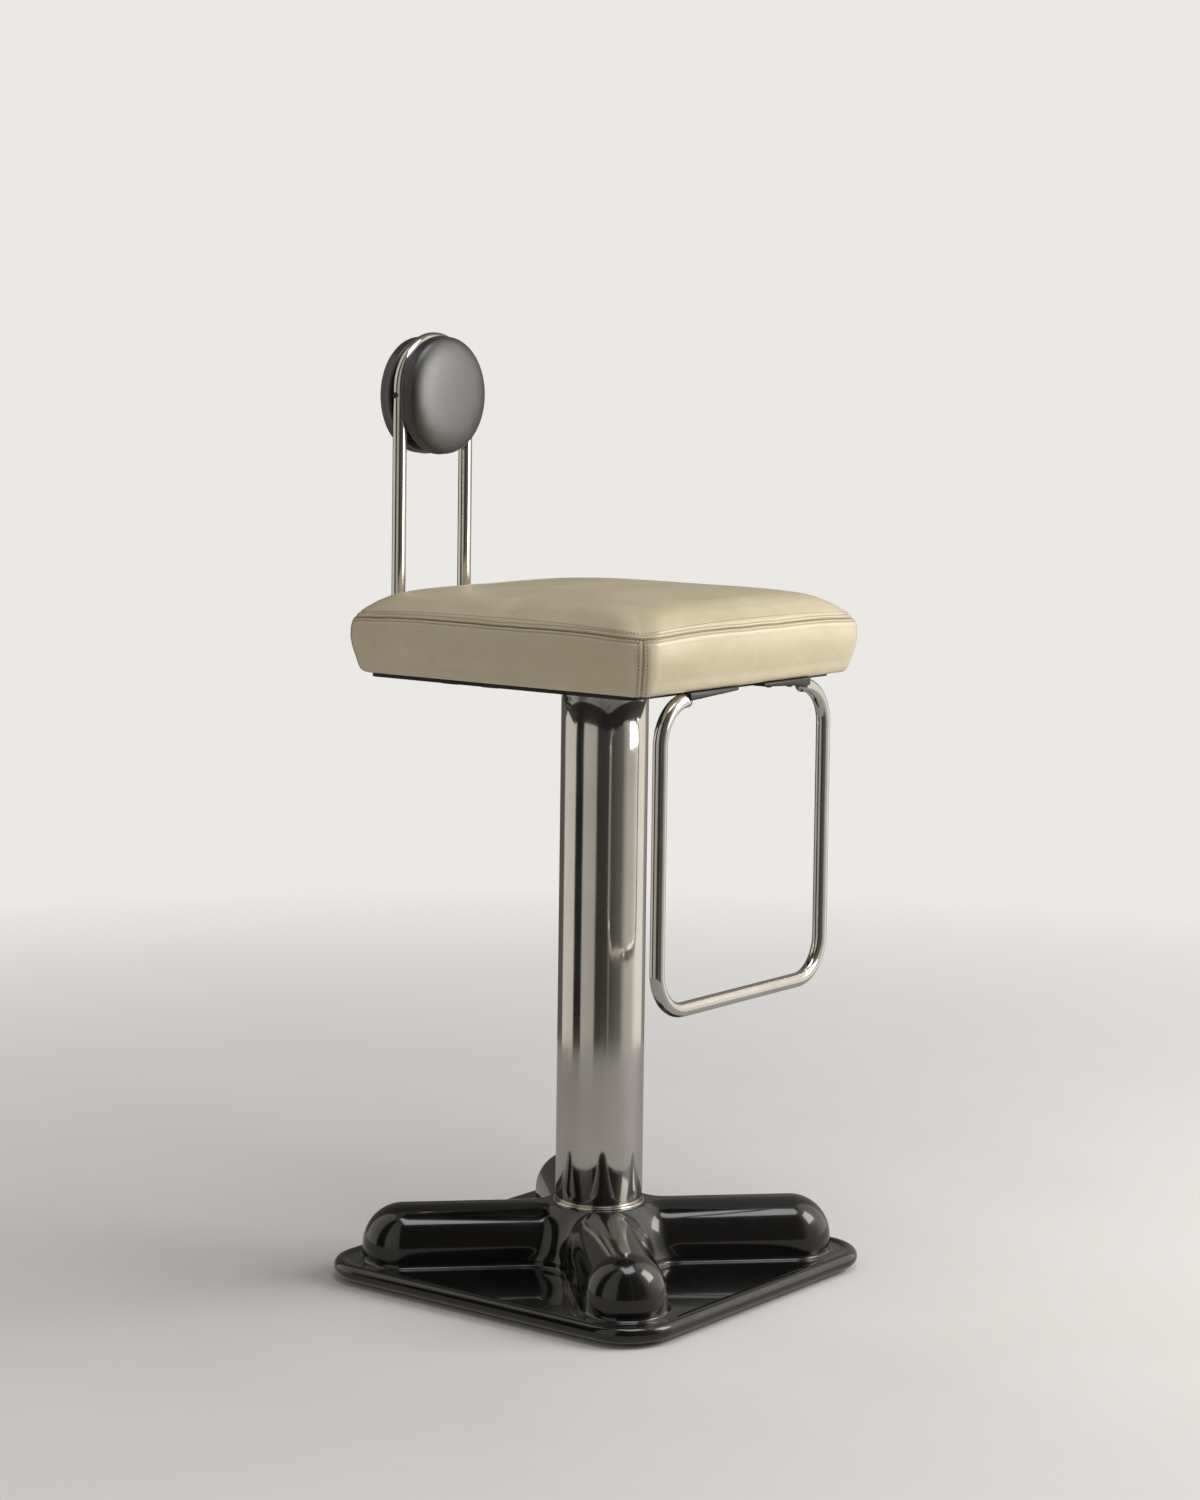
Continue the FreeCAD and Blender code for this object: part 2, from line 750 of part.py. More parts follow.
def return_spring():
    """The torsion spring between the housing and the spindle, and the pins at its ends."""
    radius, wire = S["spring_radius"].value, S["spring_wire"].value
    pitch, turns = S["spring_pitch"].value, S["spring_turns"].value
    low = S["column_top"].value - 0.5 * (S["housing_length"].value + pitch * turns)
    arcs = []
    for quarter in range(int(turns * 4)):
        start, leaving = helix_point(radius, pitch, low, quarter / 4)
        end, arriving = helix_point(radius, pitch, low, (quarter + 1) / 4)
        arcs += biarc(start, leaving, end, arriving)
    start, leaving = helix_point(radius, pitch, low, 0)
    outward = Vector(start.x, start.y, 0).normalize() * wire
    upward = leaving.cross(outward).normalize() * wire
    corners = [start + outward * x + upward * z for x, z in ((1, 1), (-1, 1), (-1, -1), (1, -1))]
    section = Part.makePolygon(corners + corners[:1])
    spring = doc.addObject("Part::Feature", "return_spring")
    spring.Shape = Part.Wire(arcs).makePipeShell([section], True, False)
    expected = 4 * wire**2 * sum(arc.Length for arc in arcs)
    print("return spring", spring.Shape.Volume / expected, "of its section times its length")
    points = [point for arc in arcs for point in arc.discretize(5)[:-1]]
    print("least gap between its turns", least_gap(points, wire, 16))
    keep(spring, "return_spring")
    for name, start, end, height, side in (
        ("spring_foot_pin", 15.2, 25.5, low, -1),
        ("spring_head_pin", 12.0, 19.0, low + pitch * turns, 1),
    ):
        angle = side * math.degrees((wire + 2 + 0.3) / radius)
        pin = cylinder(name, 2, end - start)
        spin = Rotation(Vector(0, 0, 1), angle)
        pin.Placement = FreeCAD.Placement(
            spin.multVec(Vector(start, 0, height)), spin.multiply(Rotation(Vector(0, 1, 0), 90))
        )
        keep(pin, name)
    return doc.spring_foot_pin, doc.spring_head_pin


def stops():
    """The sector under the housing and the collar and pin that run against it."""
    low = S["column_top"] - S["housing_length"] - 3
    thickness = 9
    pin_half = math.degrees(math.asin(S["stop_pin_radius"].value / S["stop_inner"].value))
    start = S["swivel_travel"].value + pin_half + 0.3
    span = 360 - 2 * start
    outer = cylinder("sector_outer", S["stop_outer"], thickness + 3, 0, 0, low - thickness, span)
    turn(outer, Vector(0, 0, 1), start - 90)
    middle = cylinder("sector_inner", S["stop_inner"], thickness + 5, 0, 0, low - thickness - 1)
    keep(cut("stop_sector_cut", outer, middle), "stop_sector")
    collar_low = low - thickness + 0.5
    collar = cylinder("collar_blank", 20, thickness - 1, 0, 0, collar_low)
    bore = cylinder("collar_bore", S["spindle_radius"], thickness + 1, 0, 0, collar_low - 1)
    pin_z = collar_low + (thickness - 1) / 2
    pin = lying_cylinder("stop_pin_blank", S["stop_pin_radius"], 20, 0, -34, pin_z, "y")
    hole = lying_cylinder("stop_pin_way", S["stop_pin_radius"], 20, 0, -34, pin_z, "y")
    keep(cut("stop_collar_cut", collar, fused("collar_ways", [bore, hole])), "stop_collar")
    shaft = cylinder("stop_pin_core", S["spindle_radius"], thickness + 1, 0, 0, collar_low - 1)
    keep(cut("stop_pin_cut", pin, shaft), "stop_pin")


def swivel(head_pin):
    """The spindle that turns in the bushes and the plate that carries the seat."""
    top = S["column_top"]
    low = top - S["housing_length"] - 16
    radius = S["spindle_radius"]
    spindle = new_body("spindle_blank")
    shoulder = top + 4.4 + S["running_gap"]
    corners = [(0, low), (radius - 1.5, low), (radius, low + 1.5), (radius, shoulder), (19, shoulder),
               (19, S["plate_low"]), (0, S["plate_low"])]
    revolve(spindle, "spindle_revolve", corners)
    keep(cut("spindle_cut", spindle, head_pin), "spindle")
    half, thickness = S["swivel_plate_half"], S["swivel_plate_thickness"]
    plate = new_body("swivel_plate_blank")
    rounded_square(new_sketch(plate, "swivel_sketch", "XY_Plane", S["plate_low"]), half, 12)
    pad(plate, "swivel_pad", doc.swivel_sketch, thickness)
    inset = half - 14
    corners = [(inset * x, inset * y) for x in (-1, 1) for y in (-1, 1)]
    plate_screws = screws("plate_screws", corners, S["plate_low"] - 3, 5.5, 3, 3, 22)
    keep(cut("swivel_plate_cut", plate, plate_screws), "swivel_plate")
    return plate_screws


def tubes():
    """The backrest's loop and the footrest's loop, bent from one size of tube."""
    bend, half, low = S["tube_bend"], S["back_half"], S["panel_low"] - S["tube_radius"]
    back, centre = S["back_y"], S["arch_centre"]
    split = low + bend + 4
    loop = new_body("backrest_loop_blank")
    arch = new_sketch(loop, "arch_path", "XZ_Plane", -back)
    ends = [(half, split), (half, centre), (0, centre + half), (-half, centre), (-half, split)]
    outline(arch, ends, {1: half, 2: half}, False)
    tube_along(loop, "arch", arch, tube_section(loop, "arch_section", "XY_Plane", split, half, back))
    leg = new_sketch(loop, "leg_path", "YZ_Plane", half)
    bent_path(leg, [(back, split), (back, low), (S["leg_end"], low)], bend)
    tube_along(loop, "leg", leg, tube_section(loop, "leg_section", "XY_Plane", split, half, back))
    mirrored = loop.newObject("PartDesign::Mirrored", "other_leg")
    mirrored.Originals = [doc.leg]
    mirrored.MirrorPlane = (plane(loop, "YZ_Plane"), [""])
    loop.Tip = mirrored
    foot, out, inner = S["footrest_y"], S["footrest_half"], S["shoe_outer"]
    high, bottom = S["footrest_high"], S["footrest_low"]
    rest = new_body("footrest_loop")
    path = new_sketch(rest, "rest_path", "XZ_Plane", foot)
    corners = [(-inner, high), (-out, high), (-out, bottom), (out, bottom), (out, high), (inner, high)]
    bent_path(path, corners, bend)
    tube_along(rest, "rest", path, tube_section(rest, "rest_section", "YZ_Plane", -inner, -foot, high))
    keep(rest, "footrest_loop")
    return loop


# The cushion's sections: height over its low edge, inset from its widest, corner radius
CUSHION = (
    (0.0, 12.5, 20.0),
    (4.0, 9.5, 22.0),
    (21.0, 4.0, 25.0),
    (39.0, 0.0, 28.0),
    (54.0, 0.5, 30.0),
    (67.0, 5.5, 32.0),
    (77.0, 15.5, 36.0),
    (85.0, 33.0, 42.0),
    (90.0, 66.0, 45.0),
    (93.5, 116.0, 40.0),
    (95.0, 166.0, 30.0),
)
SHOULDER = 6


def cushion_loft(body, name, kind, skin):
    """The cushion's form, `skin` inside the leather's outer face: its side, then its crown."""
    sections = []
    height = S["seat_height"]
    for number, (rise, inset, corner) in enumerate(CUSHION):
        share = (height - skin * 2) / height
        lift = S["seat_low"] + skin + share * rise
        sketch = new_sketch(body, f"{name}_section_{number}", "XY_Plane", lift)
        sections.append(rounded_square(sketch, S["seat_half"] - inset - skin, corner - skin.value))
    for part, run in (("side", sections[:SHOULDER + 1]), ("crown", sections[SHOULDER:])):
        feature = body.newObject(kind, f"{name}_{part}")
        feature.Profile = run[0]
        feature.Sections = run[1:]
        feature.Ruled = True
        body.Tip = feature


def cushion(tools):
    """The leather cover, open below, with its foam, the board and the thin panel under it."""
    low, leather = S["seat_low"], S["leather"]
    cover = new_body("seat_cover_blank")
    cushion_loft(cover, "cover_outer", "PartDesign::AdditiveLoft", as_size(0))
    cushion_loft(cover, "cover_inner", "PartDesign::SubtractiveLoft", leather)
    mouth = new_sketch(cover, "cover_mouth", "XY_Plane", low)
    rounded_square(mouth, S["seat_half"] - 12.5 - S["wrap_width"], 12)
    pocket(cover, "cover_opening", mouth, leather + 1, True)
    keep(cut("seat_cover_cut", cover, tools), "seat_cover")
    foam = new_body("seat_foam_body")
    cushion_loft(foam, "foam_form", "PartDesign::AdditiveLoft", leather)
    bed = rounded_square(new_sketch(foam, "foam_bed", "XY_Plane", S["board_low"]), S["board_half"], 16)
    pocket(foam, "foam_recess", bed, S["board_thickness"], True)
    keep(foam, "seat_foam")
    board = new_body("seat_board_blank")
    rounded_square(new_sketch(board, "board_sketch", "XY_Plane", S["board_low"]), S["board_half"], 16)
    pad(board, "board_pad", doc.board_sketch, S["board_thickness"])
    keep(cut("seat_board_cut", board, tools), "seat_board")
    panel = new_body("bottom_panel_blank")
    front, back = S["footrest_y"] - S["shoe_half_width"] - 2, S["panel_half"]
    outline_sketch = new_sketch(panel, "panel_sketch", "XY_Plane", S["panel_low"])
    rounded_square(outline_sketch, back, 14, (back + front) / 2, (back - front) / 2)
    pad(panel, "panel_pad", outline_sketch, S["panel_thickness"])
    keep(cut("bottom_panel_cut", panel, tools), "bottom_panel")


def saddles():
    """Bent straps that hold the backrest's legs under the panel, with their screws."""
    top, radius, strap = S["panel_low"], S["tube_radius"], S["saddle_thickness"]
    middle, outer = top - radius, radius + strap
    ear, screw_reach = S["saddle_ear"], S["saddle_screw_reach"]
    places_of_saddles = [(side, y) for y in (S["saddle_front_y"], S["saddle_rear_y"]) for side in (-1, 1)]
    solids, places = [], []
    for number, (side, y) in enumerate(places_of_saddles, start=1):
        body = new_body(f"saddle_{number}")
        sketch = new_sketch(body, f"saddle_sketch_{number}", "XZ_Plane", -y)
        x = S["back_half"] * side
        corners = [(x - ear, top - strap), (x - outer, top - strap), (x - outer, middle),
                   (x, middle - outer), (x + outer, middle), (x + outer, top - strap),
                   (x + ear, top - strap), (x + ear, top), (x + radius, top), (x + radius, middle),
                   (x, middle - radius), (x - radius, middle), (x - radius, top), (x - ear, top)]
        outline(sketch, corners, {2: outer, 3: outer, 9: -radius, 10: -radius})
        pad(body, f"saddle_pad_{number}", sketch, S["saddle_length"], both_ways=True)
        solids.append(body)
        places += [(x - screw_reach, y), (x + screw_reach, y)]
    fixings = screws("saddle_screws", places, top - strap - 2.2, 3.6, 2.2, 1.75, 15)
    group = doc.addObject("Part::Compound", "saddles")
    group.Links = solids
    keep(cut("saddles_cut", group, fixings), "backrest_saddles")
    return fixings


def shoes():
    """The steel shoes under the seat that the footrest's ends plug into, with their screws."""
    low, inner, outer, y = S["shoe_low"], S["shoe_inner"], S["shoe_outer"], S["footrest_y"]
    screw_reach = S["shoe_screw_reach"]
    solids, places = [], []
    for side in (-1, 1):
        body = new_body(f"shoe_{'left' if side < 0 else 'right'}")
        sketch = new_sketch(body, body.Name + "_sketch", "XY_Plane", low)
        middle, half = (inner + outer) / 2, (outer - inner) / 2
        width = S["shoe_half_width"]
        start, end = middle * side - half, middle * side + half
        outline(sketch, [(start, -y - width), (end, -y - width), (end, -y + width), (start, -y + width)])
        pad(body, body.Name + "_pad", sketch, S["seat_low"] - low)
        rounded(body, body.Name + "_round", 2.5, lambda edge: edge.BoundBox.ZMax < low.value + 0.01)
        spigot = lying_cylinder(body.Name + "_spigot", S["tube_radius"] - S["tube_wall"] - 0.05, 12,
                                outer if side > 0 else -outer - 7, -y, S["footrest_high"], "x")
        if side > 0:
            place(spigot, outer - 5, -y, S["footrest_high"])
        solids.append(fused(body.Name + "_whole", [body, spigot]))
        places += [(middle * side - screw_reach, -y), (middle * side + screw_reach, -y)]
    fixings = screws("shoe_screws", places, low, 4, 3, 2, 20)
    group = doc.addObject("Part::Compound", "shoes")
    group.Links = solids
    keep(cut("shoes_cut", group, fixings), "footrest_shoes")
    return fixings


def pads(loop):
    """Two round pads back to back on the loop, held by a strap, spacers and studs."""
    y, z, gap = S["back_y"], S["pad_centre"], S["tube_radius"] + 0.2
    radius, edge, depth = S["pad_radius"], S["pad_edge"], S["pad_depth"]
    board_radius, board = S["pad_board_radius"], S["pad_board_thickness"]
    lean = math.radians(84)
    rim = (radius - edge + edge * math.cos(lean), gap + edge + edge * math.sin(lean))
    sag = gap + depth - rim[1]
    crown = (rim[0] * rim[0] + sag * sag) / (sag * 2)
    profile = [(0, gap + board), (board_radius, gap + board), (board_radius, gap), (radius - edge, gap),
               (radius, gap + edge), rim, (0, gap + depth)]
    studs = []
    for number, side in enumerate((-1, 1), start=1):
        length = (gap + board) * 2
        studs.append(lying_cylinder(f"stud_{number}", S["stud_radius"], length, S["stud_reach"] * side,
                                    y - gap - board, z, "y"))
    group = doc.addObject("Part::Compound", "pad_studs")
    group.Links = studs
    stud_group = keep(group, "pad_studs")
    for name, angle in (("front", 90), ("rear", -90)):
        body = new_body(f"{name}_pad")
        revolve(body, f"{name}_pad_revolve", profile, {3: edge, 4: edge, 5: crown})
        turn(body, Vector(1, 0, 0), angle)
        place(body, 0, y, z)
        keep(body, f"{name}_pad")
        disc = cylinder(f"{name}_board_blank", board_radius, board, 0, 0, 0)
        turn(disc, Vector(1, 0, 0), angle)
        place(disc, 0, y + gap if name == "rear" else y - gap, z)
        keep(cut(f"{name}_board_cut", disc, stud_group), f"{name}_pad_board")
    thick, tall = S["strap_thickness"], S["strap_height"]
    reach = S["back_half"] - S["tube_radius"] - 0.3
    strap = block("strap_blank", reach * 2, thick, tall, -reach, y - thick / 2, z - tall / 2)
    ends = []
    for number, side in enumerate((-1, 1), start=1):
        outer = S["back_half"] + S["tube_radius"]
        head_x = outer - 0.8 if side > 0 else -outer - 1.2
        head = lying_cylinder(f"strap_head_{number}", 3.4, 2, head_x, y, z, "x")
        shank_x = outer - 26 if side > 0 else -outer + 0.5
        shank = lying_cylinder(f"strap_shank_{number}", 1.75, 25.5, shank_x, y, z, "x")
        ends.append(fused(f"strap_screw_{number}", [head, shank]))
    group = doc.addObject("Part::Compound", "strap_screws")
    group.Links = ends
    strap_screws = keep(group, "strap_screws")
    keep(cut("pad_strap_cut", strap, fused("strap_ways", [stud_group, strap_screws])), "pad_strap")
    spacers = []
    for number, (side, start) in enumerate(((-1, -1), (-1, 1), (1, -1), (1, 1)), start=1):
        low = y - gap if start < 0 else y + thick / 2
        spacers.append(lying_cylinder(f"spacer_{number}", S["spacer_radius"], gap - thick / 2,
                                      S["stud_reach"] * side, low, z, "y"))
    blank = doc.addObject("Part::Compound", "spacers")
    blank.Links = spacers
    keep(cut("pad_spacers_cut", blank, stud_group), "pad_spacers")
    keep(cut("backrest_loop_cut", loop, strap_screws), "backrest_loop")


def castor(corner, x, y):
    """One castor: stem, fork and axle that swivel, and the wheel with its tyre."""
    trail, wheel = S["castor_trail"], S["wheel_radius"]
    gap, stem = S["running_gap"], S["stem_radius"]
    fork_top, sheet_metal = S["beam_low"] - 4, S["fork_sheet"]
    post = new_body(f"castor_{corner}_stem")
    top = S["beam_low"] + S["beam_height"] + 5
    corners = [(0, fork_top - sheet_metal), (4, fork_top - sheet_metal), (4, fork_top), (9, fork_top),
               (9, fork_top + 1), (stem, fork_top + 1), (stem, top - 1.5), (stem - 1.5, top), (0, top)]
    revolve(post, post.Name + "_revolve", corners)
    place(post, x, y, 0)
    keep(post, post.Name)
    cheek_in = S["wheel_half_width"] + S["cheek_gap"]
    fork = new_body(f"fork_{corner}")
    disc = new_sketch(fork, fork.Name + "_disc", "XY_Plane", fork_top - sheet_metal)
    circle_at(circle_at(disc, S["fork_radius"]), 4)
    pad(fork, fork.Name + "_top", disc, sheet_metal)
    cheek = new_sketch(fork, fork.Name + "_cheek", "YZ_Plane", cheek_in)
    corners = [(-11, fork_top), (-11, fork_top - 7), (trail - 6.3, wheel - 3), (trail + 6.9, wheel + 1.2),
               (11, fork_top - 7), (11, fork_top)]
    outline(cheek, corners, {2: as_size(7)})
    side = pad(fork, fork.Name + "_side", cheek, S["cheek_thickness"])
    mirrored = fork.newObject("PartDesign::Mirrored", fork.Name + "_other_side")
    mirrored.Originals = [side]
    mirrored.MirrorPlane = (plane(fork, "YZ_Plane"), [""])
    fork.Tip = mirrored
    place(fork, x, y, 0)
    half = cheek_in + S["cheek_thickness"]
    pin = lying_cylinder(f"axle_{corner}_pin", S["axle_radius"], half * 2, x - half, y + trail, wheel, "x")
    heads = [lying_cylinder(f"axle_{corner}_head_{n}", 5.5, 1.5, start, y + trail, wheel, "x")
             for n, start in enumerate((x - half - 1.5, x + half), start=1)]
    axle = keep(fused(f"axle_{corner}", [pin] + heads), f"castor_{corner}_axle")
    keep(cut(f"fork_{corner}_cut", fork, axle), f"castor_{corner}_fork")
    width, bore = S["wheel_half_width"], S["axle_radius"] + gap
    hub = new_body(f"castor_{corner}_wheel")
    rim, half_tread, chamfer = S["rim_radius"], S["tread_half_width"], S["tread_chamfer"]
    disc_half = half_tread - chamfer
    corners = [(bore, -width), (7.5, -width), (8.2, -disc_half), (rim, -disc_half), (rim, disc_half),
               (8.2, disc_half), (7.5, width), (bore, width)]
    tread = new_body(f"castor_{corner}_tyre")
    tyre = [(rim, -half_tread), (wheel - chamfer, -half_tread), (wheel, -disc_half), (wheel, disc_half),
            (wheel - chamfer, half_tread), (rim, half_tread)]
    for body, steps in ((hub, corners), (tread, tyre)):
        revolve(body, body.Name + "_revolve", steps)
        turn(body, Vector(0, 1, 0), 90)
        place(body, x, y + trail, wheel)
        keep(body, body.Name)


def sleeves():
    """The flanged sleeves in the frame's sockets that the castors' stems turn in."""
    low, bore, outer = S["beam_low"] - 2, S["stem_radius"] + S["running_gap"], S["sleeve_radius"]
    solids = []
    for corner, (x, y) in castor_points().items():
        body = new_body(f"sleeve_{corner}")
        flange = low - 1 + S["running_gap"]
        corners = [(bore, flange), (10, flange), (10, low), (outer, low), (outer, low + 26), (bore, low + 26)]
        revolve(body, body.Name + "_revolve", corners)
        place(body, x, y, 0)
        solids.append(body)
    group = doc.addObject("Part::Compound", "castor_sleeves")
    group.Links = solids
    keep(group, "castor_sleeves")


def build():
    """Make every sub-part."""
    base_shell()
    cross_frame()
    base_fixings()
    column()
    foot_pin, head_pin = return_spring()
    bearing(foot_pin)
    stops()
    seat_screws = swivel(head_pin)
    loop = tubes()
    saddle_screws = saddles()
    shoe_screws = shoes()
    cushion(fused("seat_tools", [seat_screws, saddle_screws, shoe_screws]))
    pads(loop)
    sleeves()
    for corner, (x, y) in castor_points().items():
        castor(corner, x, y)
    doc.recompute()


def check_and_write():
    """Stop on anything that failed, then write one file for each node."""
    for obj in doc.Objects:
        if "Invalid" in obj.State or "Error" in obj.State:
            raise RuntimeError(f"{obj.Name} failed: {obj.State}")
    os.makedirs("parts", exist_ok=True)
    for name, obj in parts.items():
        shape = obj.Shape
        if obj.Label != name:
            raise RuntimeError(f"{name} is labelled {obj.Label}")
        if shape.isNull() or not shape.isValid() or not shape.Solids:
            raise RuntimeError(f"{name} has no valid solid")
        shape.exportStep(os.path.join("parts", f"{name}.step"))
    print(len(parts), "nodes")


build()
check_and_write()
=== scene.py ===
"""Diner counter stool: the dressed model, in metres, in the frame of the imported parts.

The footrest is at -Y, the backrest at +Y, and the column stands on the origin.
"""

import json
import math

import bmesh
import bpy
import numpy as np
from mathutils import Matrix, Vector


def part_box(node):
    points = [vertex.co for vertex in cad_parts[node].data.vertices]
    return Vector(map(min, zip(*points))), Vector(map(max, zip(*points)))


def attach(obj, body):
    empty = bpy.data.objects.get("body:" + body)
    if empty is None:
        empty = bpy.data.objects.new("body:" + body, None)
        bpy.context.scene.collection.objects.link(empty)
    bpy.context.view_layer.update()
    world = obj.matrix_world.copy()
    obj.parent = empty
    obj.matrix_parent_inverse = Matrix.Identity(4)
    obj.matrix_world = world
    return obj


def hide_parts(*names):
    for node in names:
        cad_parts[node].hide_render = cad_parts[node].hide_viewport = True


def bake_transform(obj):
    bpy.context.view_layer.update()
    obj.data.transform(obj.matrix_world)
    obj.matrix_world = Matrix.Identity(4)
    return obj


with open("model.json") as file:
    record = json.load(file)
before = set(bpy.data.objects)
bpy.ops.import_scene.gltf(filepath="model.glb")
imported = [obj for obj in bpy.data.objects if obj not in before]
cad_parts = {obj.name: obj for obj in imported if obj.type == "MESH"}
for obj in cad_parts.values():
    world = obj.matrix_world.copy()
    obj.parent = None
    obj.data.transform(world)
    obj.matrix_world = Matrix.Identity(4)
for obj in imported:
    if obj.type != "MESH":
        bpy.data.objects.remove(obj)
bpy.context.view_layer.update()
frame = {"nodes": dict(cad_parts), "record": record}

import openvdb
from mathutils import Vector
from mathutils.bvhtree import BVHTree
from mathutils.kdtree import KDTree

MM = 0.001

# A direction that no tube's path starts along
ASIDE = (0.3, 0.5, 0.81)

# The photograph's frame, in pixels, and the camera that took it, in metres and degrees
FRAME_WIDTH = 1200
FRAME_HEIGHT = 1500
SENSOR = 36.0
FOCAL_PIXELS = 3318.0
AXIS_PIXEL = (607.0, 570.4)
STAND_OFF = 3.689
EYE_HEIGHT = 1.052
BEARING = 37.2
PITCH = 4.0
ROLL = 0.772

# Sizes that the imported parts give
COLUMN_LOW, COLUMN_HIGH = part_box("column_tube")
BASE_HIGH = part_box("base_shell")[1]
COVER_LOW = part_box("seat_cover")[0]
REST_LOW, REST_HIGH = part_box("footrest_loop")
BACK_LOW, BACK_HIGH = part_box("backrest_loop")
FRONT_LOW, FRONT_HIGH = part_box("front_pad")
REAR_LOW, REAR_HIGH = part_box("rear_pad")
RING_LOW, RING_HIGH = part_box("foot_ring")
SHOES_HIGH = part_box("footrest_shoes")[1]
SLEEVES_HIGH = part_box("castor_sleeves")[1]


# Meshes


def added(name, data):
    """A new object in the scene, at the origin."""
    obj = bpy.data.objects.new(name, data)
    bpy.context.scene.collection.objects.link(obj)
    return obj


def mesh_object(name, points, faces):
    """An object at the origin from points and faces, shaded smooth."""
    mesh = bpy.data.meshes.new(name)
    mesh.from_pydata([tuple(point) for point in points], [], [tuple(face) for face in faces])
    mesh.update()
    mesh.shade_smooth()
    return added(name, mesh)


def full_turn(steps):
    """Even angles once round."""
    return np.linspace(0, 2 * math.pi, steps, endpoint=False)


def lattice_faces(rows, columns, closed=True, start=0, flip=False):
    """Quads between rows of points, each row `columns` long."""
    faces = []
    last = columns if closed else columns - 1
    for row in range(rows - 1):
        for column in range(last):
            a = start + row * columns + column
            b = start + row * columns + (column + 1) % columns
            quad = (a, b, b + columns, a + columns)
            faces.append(quad[::-1] if flip else quad)
    return faces


def turned(name, profile, steps=256):
    """A closed ring or tube about the Z axis from a closed (radius, height) outline, which runs
    anticlockwise as seen with the radius to the right and the height up."""
    angles = full_turn(steps)
    points = [(r * math.cos(a), r * math.sin(a), z) for r, z in profile for a in angles]
    faces = lattice_faces(len(profile), steps)
    last = (len(profile) - 1) * steps
    for column in range(steps):
        beside = (column + 1) % steps
        faces.append((last + column, last + beside, beside, column))
    return mesh_object(name, points, faces)


def arc_points(centre, start, end, steps):
    """Points of a circular arc in space, without its first."""
    first, last = np.array(start) - centre, np.array(end) - centre
    radius = np.linalg.norm(first)
    angle = math.acos(np.clip(first @ last / radius**2, -1, 1))
    across = last - first * (first @ last) / radius**2
    across *= radius / np.linalg.norm(across)
    turns = [angle * step / steps for step in range(1, steps + 1)]
    return [centre + first * math.cos(t) + across * math.sin(t) for t in turns]


def bent_line(corners, bend, steps=20):
    """A path of straight runs with each corner rounded to one bend radius."""
    corners = [np.array(corner, float) for corner in corners]
    path = [corners[0]]
    for before, corner, after in zip(corners, corners[1:], corners[2:]):
        back = (before - corner) / np.linalg.norm(before - corner)
        on = (after - corner) / np.linalg.norm(after - corner)
        start, end = corner + back * bend, corner + on * bend
        path.append(start)
        path += arc_points(corner + (back + on) * bend, start, end, steps)
    path.append(corners[-1])
    return path


def tube(name, path, outer, wall, around=48):
    """A hollow tube with open ends along a path."""
    path = [np.array(point) for point in path]
    count = len(path)
    ahead = [path[min(n + 1, count - 1)] - path[max(n - 1, 0)] for n in range(count)]
    ahead = [direction / np.linalg.norm(direction) for direction in ahead]
    side = np.cross(ahead[0], ASIDE)
    angles = full_turn(around)
    outside, inside = [], []
    for point, direction in zip(path, ahead):
        side = side - direction * (side @ direction)
        side /= np.linalg.norm(side)
        third = np.cross(direction, side)
        for angle in angles:
            spoke = side * math.cos(angle) + third * math.sin(angle)
            outside.append(point + spoke * outer)
            inside.append(point + spoke * (outer - wall))
    faces = lattice_faces(count, around)
    faces += lattice_faces(count, around, start=count * around, flip=True)
    for column in range(around):
        beside = (column + 1) % around
        low, high = count * around, (count - 1) * around
        faces.append((low + column, low + beside, beside, column))
        faces.append((high + column, high + beside, low + high + beside, low + high + column))
    return mesh_object(name, outside + inside, faces)


def applied(obj):
    """An object with its modifiers made into its mesh."""
    graph = bpy.context.evaluated_depsgraph_get()
    mesh = bpy.data.meshes.new_from_object(obj.evaluated_get(graph))
    obj.modifiers.clear()
    obj.data = mesh
    return obj


def eased(obj, width, segments=4, angle=35):
    """Round an object's sharp edges and leave its smooth faces alone."""
    bevel = obj.modifiers.new("edges", "BEVEL")
    bevel.width = width
    bevel.segments = segments
    bevel.limit_method = "ANGLE"
    bevel.angle_limit = math.radians(angle)
    return applied(obj)


def finer(obj):
    """Divide an object's faces once more and shade them smooth."""
    divided = obj.modifiers.new("finer", "SUBSURF")
    divided.levels = divided.render_levels = 1
    applied(obj)
    obj.data.shade_smooth()
    return obj


# Finishes


def wired(tree, kind, inputs=None, **settings):
    """Add a node with its settings, and with inputs that are plain values or other nodes'
    outputs. Gives its outputs."""
    node = tree.nodes.new(kind)
    for key, value in settings.items():
        setattr(node, key, value)
    for key, value in (inputs or {}).items():
        if isinstance(value, bpy.types.NodeSocket):
            tree.links.new(value, node.inputs[key])
        else:
            node.inputs[key].default_value = value
    return node.outputs


